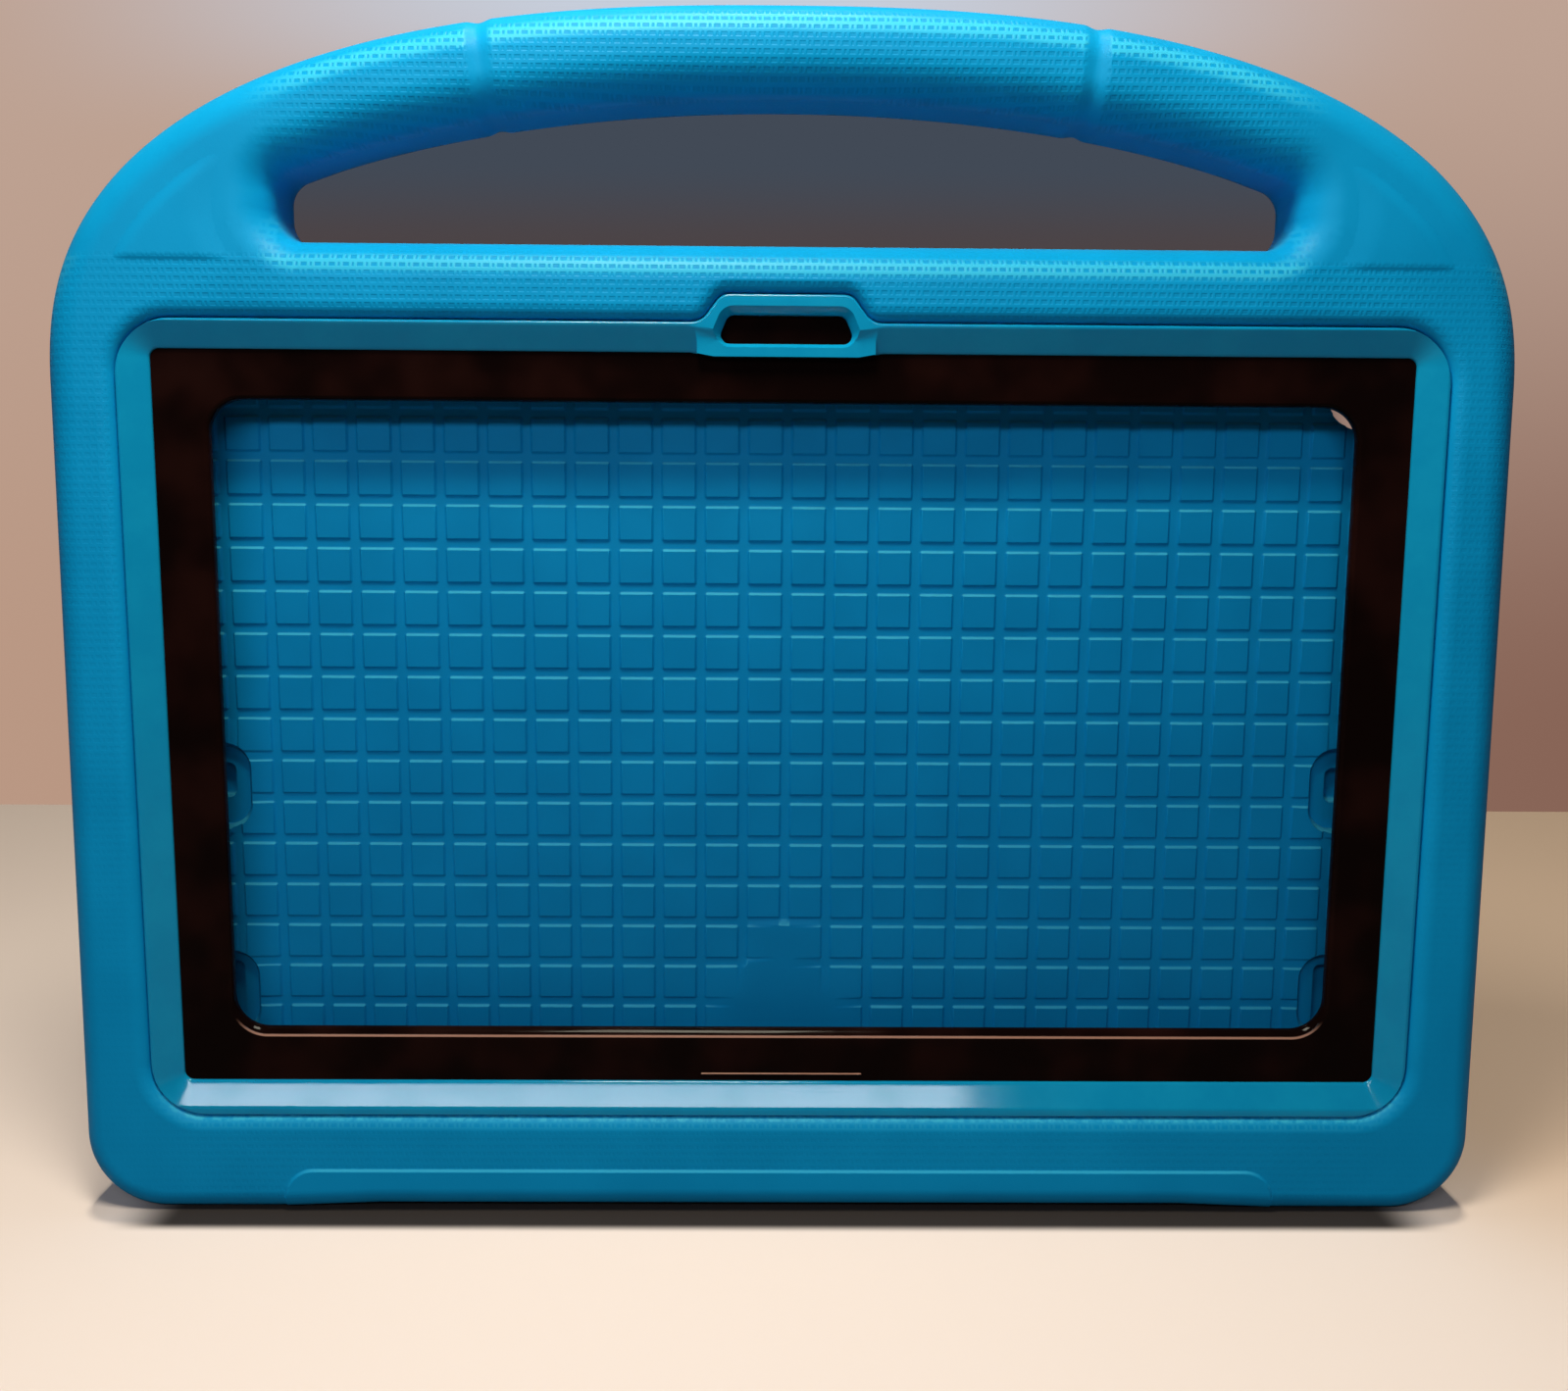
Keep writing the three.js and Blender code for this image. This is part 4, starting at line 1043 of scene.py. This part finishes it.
def foam_material():
    """Matte blue with a woven grain, with painted shade in its pits and painted highlights on the ridges
    between them and on upward edges of the low band, the pocket floor and the lip.
    """
    material, nodes = new_material("foam", linear(*FOAM_COLOR), FOAM_ROUGHNESS, FOAM_SPECULAR)
    place, (x, y, z) = nodes.place()
    in_pocket = pocket_mask(nodes, x, y, z)
    grained = weave_mask(nodes, x, y, z, in_pocket)
    weave = nodes.math("MULTIPLY", weave_height(nodes, x, z), grained)
    grain = nodes.noise(place, 1 / GRAIN_SIZE, 1.0)
    height = nodes.math("ADD", nodes.math("MULTIPLY", weave, WEAVE_DEPTH),
                        nodes.math("MULTIPLY", grain, GRAIN_DEPTH))
    nodes.feed(nodes.shader.inputs["Normal"], nodes.bump(height, 1.0))
    cloudy = nodes.ramp(nodes.noise(place, *FOAM_CLOUDS), *FOAM_CLOUD_EDGES)
    color = nodes.mix_color(cloudy, paint(FOAM_DEEP_COLOR), paint(FOAM_LIGHT_COLOR))
    # Painted shade: the weave's pits are darkened towards the pit colour
    pits = nodes.math("MULTIPLY", nodes.math("SUBTRACT", grained, weave), PIT_SHADE)
    shaded = nodes.mix_color(pits, color, paint(FOAM_PIT_SHADE_COLOR))
    highlight_places = highlight_mask(nodes, place, x, y, z, in_pocket)
    # Painted highlight on the weave's ridges where the surface faces partly up
    band = nodes.math("MULTIPLY", nodes.upward(*RIDGE_LOW_SLOPES), nodes.upward(*RIDGE_HIGH_SLOPES))
    ridges = nodes.math("MULTIPLY", nodes.math("MULTIPLY", weave, band), RIDGE_HIGHLIGHT)
    # Painted highlight on upward faces of the low band, the pocket floor and the lip
    upward_highlight = nodes.math("MULTIPLY", nodes.upward(*HIGHLIGHT_SLOPES), highlight_places)
    painted_highlight = nodes.math("MAXIMUM", upward_highlight, ridges)
    nodes.feed(nodes.shader.inputs["Base Color"], nodes.mix_color(painted_highlight, shaded, paint(FOAM_HIGHLIGHT_COLOR)))
    dull = nodes.ramp(grain, *FOAM_GRAIN_DULLNESS)
    gloss = nodes.math("MULTIPLY", weave, RIDGE_GLOSS)
    nodes.feed(nodes.shader.inputs["Roughness"], nodes.math("SUBTRACT", dull, gloss))
    return material


def frame_material():
    """Satin blue with faint smudges."""
    material, nodes = new_material("frame", linear(*FRAME_COLOR), FRAME_ROUGHNESS, FRAME_SPECULAR)
    place, _ = nodes.place()
    grain = nodes.noise(place, *FRAME_GRAIN)
    nodes.feed(nodes.shader.inputs["Normal"], nodes.bump(grain, FRAME_GRAIN_DEPTH))
    smudge = nodes.ramp(nodes.noise(place, *FRAME_SMUDGES), *FRAME_SMUDGE_EDGES)
    dull = nodes.math("MULTIPLY", smudge, FRAME_SMUDGE_DULLNESS)
    nodes.feed(nodes.shader.inputs["Roughness"], nodes.math("ADD", dull, FRAME_CLEAN_DULLNESS))
    color = nodes.mix_color(smudge, paint(FRAME_CLEAN_COLOR), paint(FRAME_SMUDGE_COLOR))
    nodes.feed(nodes.shader.inputs["Base Color"], color)
    return material


def bezel_material():
    """Near black with a reddish painted reflection, paler in hazy patches, and a painted highlight: a
    fine pale line along the upward edges at and below the window's sill.
    """
    material, nodes = new_material("bezel", linear(*BEZEL_COLOR), BEZEL_ROUGHNESS, BEZEL_SPECULAR)
    place, (_, y, z) = nodes.place()
    # Painted reflection: the haze noise also sets the bezel's reddish colour, paler in its patches
    haze_and_reflection = nodes.ramp(nodes.noise(place, *BEZEL_HAZE_AND_REFLECTION), *BEZEL_HAZE_AND_REFLECTION_EDGES)
    dull = nodes.math("MULTIPLY", haze_and_reflection, BEZEL_HAZE_DULLNESS)
    nodes.feed(nodes.shader.inputs["Roughness"], nodes.math("ADD", dull, BEZEL_CLEAN_DULLNESS))
    color = nodes.mix_color(haze_and_reflection, paint(BEZEL_CLEAN_REFLECTION_COLOR), paint(BEZEL_HAZE_REFLECTION_COLOR))
    # Painted highlight: a pale line on upward faces at and below the sill
    upward = nodes.math("MULTIPLY", nodes.upward(*BEZEL_HIGHLIGHT_SLOPES), nodes.ramp(z, *BEZEL_HIGHLIGHT_LEVELS))
    line = nodes.math("MULTIPLY", upward, nodes.ramp(y, *BEZEL_HIGHLIGHT_DEPTHS))
    nodes.feed(nodes.shader.inputs["Base Color"], nodes.mix_color(line, color, paint(BEZEL_HIGHLIGHT_COLOR)))
    return material


def film_material():
    """Clear, with a weak and slightly smudged reflection."""
    material, nodes = new_material("film", linear(*FILM_COLOR), FILM_ROUGHNESS, FILM_SPECULAR)
    clear = nodes.add("ShaderNodeBsdfTransparent", inputs={"Color": FILM_TINT})
    place, _ = nodes.place()
    smudge = nodes.ramp(nodes.noise(place, *FILM_SMUDGES), *FILM_SMUDGE_EDGES)
    mirror = nodes.add("ShaderNodeBsdfGlossy", inputs={"Color": FILM_SHEEN, "Roughness": smudge})
    share = nodes.add("ShaderNodeFresnel", inputs={"IOR": FILM_IOR})
    mixed = nodes.add("ShaderNodeMixShader", inputs={0: share, 1: clear, 2: mirror})
    nodes.feed(nodes.tree.nodes["Material Output"].inputs["Surface"], mixed)
    return material


# Camera, fitted to the photograph
IMAGE_WIDTH = 1599
FOCAL_PIXELS = 1500
SENSOR_MM = 36
CAMERA_AT = (-3.1, -288.7, 142.0)
CAMERA_YAW = math.radians(0.64)
CAMERA_DOWN = math.radians(7.73)
CAMERA_ROLL = math.radians(0.41)
CAMERA_NEAREST = 10
CAMERA_FARTHEST = 20000


def make_camera():
    forward = Vector((
        math.sin(CAMERA_YAW) * math.cos(CAMERA_DOWN),
        math.cos(CAMERA_YAW) * math.cos(CAMERA_DOWN),
        -math.sin(CAMERA_DOWN)))
    level_right = forward.cross(Vector((0, 0, 1))).normalized()
    level_up = level_right.cross(forward)
    right = level_right * math.cos(CAMERA_ROLL) + level_up * math.sin(CAMERA_ROLL)
    up = level_up * math.cos(CAMERA_ROLL) - level_right * math.sin(CAMERA_ROLL)
    data = bpy.data.cameras.new("camera")
    data.sensor_fit = "HORIZONTAL"
    data.sensor_width = SENSOR_MM
    data.lens = SENSOR_MM * FOCAL_PIXELS / IMAGE_WIDTH
    data.clip_start = CAMERA_NEAREST * MM
    data.clip_end = CAMERA_FARTHEST * MM
    camera = bpy.data.objects.new("camera", data)
    turn = Matrix((right, up, -forward)).transposed()
    camera.matrix_world = Matrix.Translation(Vector(CAMERA_AT) * MM) @ turn.to_4x4()
    bpy.context.scene.collection.objects.link(camera)
    bpy.context.scene.camera = camera


# Table and wall, in millimetres, with colours of 255
TABLE_HALF_WIDTH = 2000
TABLE_FRONT_Y = -1600
TABLE_EDGE_Y = 373
WALL_Y = 900
WALL_HALF_WIDTH = 2500
WALL_LOW_Z = -900
WALL_HIGH_Z = 1800
MIRRORED_SHARE = 0.3
TABLE_COLOR = (241, 227, 214)
TABLE_PALE_COLOR = (248, 231, 228)
# Painted shade on the table's front, seen only in mirrors
TABLE_FRONT_SHADE_COLOR = (60, 54, 50)
# Painted shadow of the case on the table's right side
TABLE_RIGHT_SHADOW_COLOR = (236, 208, 190)
TABLE_STRIP_COLOR = (66, 59, 57)
TABLE_UNSEEN_COLOR = (110, 104, 102)
TABLE_ROUGHNESS = 0.75
TABLE_SPECULAR = 0.1
# Where the painted shade on the table's front begins and ends
TABLE_FRONT_SHADE = (-60, -15)
# Where the painted shadow on the table's right side lies
TABLE_RIGHT_SHADOW_X = (110, 165)
TABLE_RIGHT_SHADOW_Y = (-70, 30)
STRIP_SIDES = (133, 119)
STRIP_FRONT = (-19.6, -16)
STRIP_REAR = (30, 0)
WALL_COLOR = (180, 150, 136)
WALL_LEFT_COLOR = (186, 152, 132)
# Painted shade on the wall's right side
WALL_RIGHT_SHADE_COLOR = (136, 101, 87)
WALL_HIGH_COLOR = (190, 163, 148)
# Colour of the painted highlight on the wall above the middle
WALL_HIGHLIGHT_COLOR = (198, 206, 220)
# Colours of the case's painted shadow on the wall
WALL_SHADOW_COLOR = (76, 68, 70)
WALL_SHADOW_HIGH_COLOR = (66, 74, 86)
WALL_ROUGHNESS = 0.9
WALL_SIDES = (-700, 700)
WALL_LEVELS = (-60, 560)
# Where the painted highlight on the wall lies
WALL_HIGHLIGHT_MIDDLE_X = -40
WALL_HIGHLIGHT_SIDES = (620, 60)
WALL_HIGHLIGHT_LEVELS = (400, 520)
# Where the case's painted shadow on the wall lies, in an arched patch
WALL_SHADOW_SIDES = (465, 420)
WALL_SHADOW_LEVELS = (505, 470)
WALL_SHADOW_ARCH_HALF = 400
WALL_SHADOW_ARCH_RISE = 60
WALL_SHADOW_HIGH_LEVELS = (330, 400)
WALL_GLOW = (0, 1, 0.1, 1.0)

# Lamps
WINDOW_LAMP = {
    "place": (-145, -560, 382),
    "target": (-145, 0, 60),
    "width": 540,
    "height": 50,
    "power": 0.9,
    "color": (0.94, 1.02, 1.1),
}
CEILING_LAMP = {
    "place": (-40, -145, 425),
    "target": (0, 0, 110),
    "width": 110,
    "height": 110,
    "power": 1.06,
    "color": (1.0, 0.95, 0.76),
}
SUN_POWER = 1.1
SUN_SPREAD = math.radians(0.8)
SUN_TILT = math.radians(-1.46)
SUN_COLOR = (1.0, 0.92, 0.7)
ROOM_COLOR = (0.85, 0.92, 1.0, 1)
ROOM_POWER = 0.045


def surface(name, corners):
    made = new_object(name, np.array(corners, float), [(0, 1, 2, 3)])
    return made


def seen_rays(nodes):
    """1 for the camera and glass, less for mirrors, 0 for the light that the stage gives back."""
    paths = nodes.tree.nodes.new("ShaderNodeLightPath").outputs
    dimmed = nodes.math("MULTIPLY", paths["Is Glossy Ray"], MIRRORED_SHARE)
    mirrored = nodes.math("MAXIMUM", dimmed, paths["Is Transmission Ray"])
    return nodes.math("MAXIMUM", paths["Is Camera Ray"], mirrored)


def table_material():
    """Pale, with painted shade right before the feet and a painted shadow on its right side. Mirrors see
    its front in painted shade.
    """
    material, nodes = new_material("table", linear(*TABLE_COLOR), TABLE_ROUGHNESS, TABLE_SPECULAR)
    _, (x, y, _) = nodes.place()
    paths = nodes.tree.nodes.new("ShaderNodeLightPath").outputs
    # Painted shade: to all but camera rays the table's front is dark
    bright = nodes.math("MAXIMUM", paths["Is Camera Ray"], nodes.ramp(y, *TABLE_FRONT_SHADE))
    near = nodes.mix_color(bright, paint(TABLE_FRONT_SHADE_COLOR), paint(TABLE_PALE_COLOR))
    # Painted shadow on the table to the right of the case
    beside = nodes.math("MULTIPLY", nodes.ramp(x, *TABLE_RIGHT_SHADOW_X), nodes.ramp(y, *TABLE_RIGHT_SHADOW_Y))
    shaded = nodes.mix_color(beside, near, paint(TABLE_RIGHT_SHADOW_COLOR))
    strip_x = nodes.ramp(nodes.math("ABSOLUTE", x), *STRIP_SIDES)
    strip_y = nodes.math("MULTIPLY", nodes.ramp(y, *STRIP_FRONT), nodes.ramp(y, *STRIP_REAR))
    strip = nodes.math("MULTIPLY", strip_x, strip_y)
    seen = nodes.mix_color(strip, shaded, paint(TABLE_STRIP_COLOR))
    color = nodes.mix_color(seen_rays(nodes), paint(TABLE_UNSEEN_COLOR), seen)
    nodes.feed(nodes.shader.inputs["Base Color"], color)
    return material


def wall_material():
    """A glowing wall with painted light: painted shade on its right side, lighter higher up, a painted
    highlight above the middle and a painted shadow of the case.
    """
    material, nodes = new_material("wall", linear(*WALL_COLOR), WALL_ROUGHNESS, 0.0)
    _, (x, _, z) = nodes.place()
    # Painted shade: the wall darkens from left to right
    side_shaded = nodes.mix_color(nodes.ramp(x, *WALL_SIDES), paint(WALL_LEFT_COLOR), paint(WALL_RIGHT_SHADE_COLOR))
    high = nodes.mix_color(nodes.ramp(z, *WALL_LEVELS), side_shaded, paint(WALL_HIGH_COLOR))
    # Painted highlight on the wall above the middle
    off_middle = nodes.math("ABSOLUTE", nodes.math("ADD", x, -WALL_HIGHLIGHT_MIDDLE_X))
    top = nodes.math("MULTIPLY", nodes.ramp(off_middle, *WALL_HIGHLIGHT_SIDES), nodes.ramp(z, *WALL_HIGHLIGHT_LEVELS))
    highlighted = nodes.mix_color(top, high, paint(WALL_HIGHLIGHT_COLOR))
    # Painted shadow of the case on the wall, in an arched patch
    off = nodes.math("MULTIPLY", x, 1 / WALL_SHADOW_ARCH_HALF)
    drop = nodes.math("MULTIPLY", nodes.math("MULTIPLY", off, off), WALL_SHADOW_ARCH_RISE)
    arched = nodes.math("ADD", z, drop)
    side = nodes.math("ABSOLUTE", x)
    case_shadow = nodes.math("MULTIPLY", nodes.ramp(side, *WALL_SHADOW_SIDES), nodes.ramp(arched, *WALL_SHADOW_LEVELS))
    shadow_fade = nodes.ramp(z, *WALL_SHADOW_HIGH_LEVELS)
    deep = nodes.mix_color(shadow_fade, paint(WALL_SHADOW_COLOR), paint(WALL_SHADOW_HIGH_COLOR))
    color = nodes.mix_color(case_shadow, highlighted, deep)
    glow = nodes.add("ShaderNodeEmission", inputs={
        "Color": color, "Strength": nodes.ramp(seen_rays(nodes), *WALL_GLOW)})
    nodes.feed(nodes.tree.nodes["Material Output"].inputs["Surface"], glow)
    return material


def make_stage():
    table = surface("table", [
        (-TABLE_HALF_WIDTH, TABLE_FRONT_Y, 0),
        (TABLE_HALF_WIDTH, TABLE_FRONT_Y, 0),
        (TABLE_HALF_WIDTH, TABLE_EDGE_Y, 0),
        (-TABLE_HALF_WIDTH, TABLE_EDGE_Y, 0),
    ])
    table.data.materials.append(table_material())
    wall = surface("wall", [
        (-WALL_HALF_WIDTH, WALL_Y, WALL_LOW_Z),
        (WALL_HALF_WIDTH, WALL_Y, WALL_LOW_Z),
        (WALL_HALF_WIDTH, WALL_Y, WALL_HIGH_Z),
        (-WALL_HALF_WIDTH, WALL_Y, WALL_HIGH_Z),
    ])
    wall.data.materials.append(wall_material())


def area_lamp(name, place, target, width, height, power, color):
    data = bpy.data.lights.new(name, "AREA")
    data.shape = "RECTANGLE"
    data.size = width * MM
    data.size_y = height * MM
    data.energy = power
    data.color = color
    lamp = bpy.data.objects.new(name, data)
    lamp.location = Vector(place) * MM
    aim = (Vector(target) - Vector(place)).normalized()
    lamp.rotation_mode = "QUATERNION"
    lamp.rotation_quaternion = aim.to_track_quat("-Z", "Y")
    lamp.visible_camera = False
    bpy.context.scene.collection.objects.link(lamp)


def make_light():
    area_lamp("window_light", **WINDOW_LAMP)
    area_lamp("ceiling_light", **CEILING_LAMP)
    sun = bpy.data.lights.new("lamp_above", "SUN")
    sun.energy = SUN_POWER
    sun.angle = SUN_SPREAD
    sun.color = SUN_COLOR
    lamp = bpy.data.objects.new("lamp_above", sun)
    lamp.rotation_euler = (SUN_TILT, 0, 0)
    bpy.context.scene.collection.objects.link(lamp)
    world = bpy.data.worlds.new("room")
    world.use_nodes = True
    background = world.node_tree.nodes["Background"]
    background.inputs["Color"].default_value = ROOM_COLOR
    background.inputs["Strength"].default_value = ROOM_POWER
    bpy.context.scene.world = world


bpy.context.scene.view_settings.view_transform = "Standard"
make_camera()
make_stage()
make_light()

PIECES = [
    (foam_body(foam_material()), "foam_case", "foam"),
    (front_frame(frame_material()), "front_frame", "frame"),
    (inner_bezel(bezel_material()), "inner_bezel", "bezel"),
]
for piece, node, slot in PIECES:
    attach(piece, "root")
    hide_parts(node)
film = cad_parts["screen_film"]
film.data.materials.clear()
film.data.materials.append(film_material())
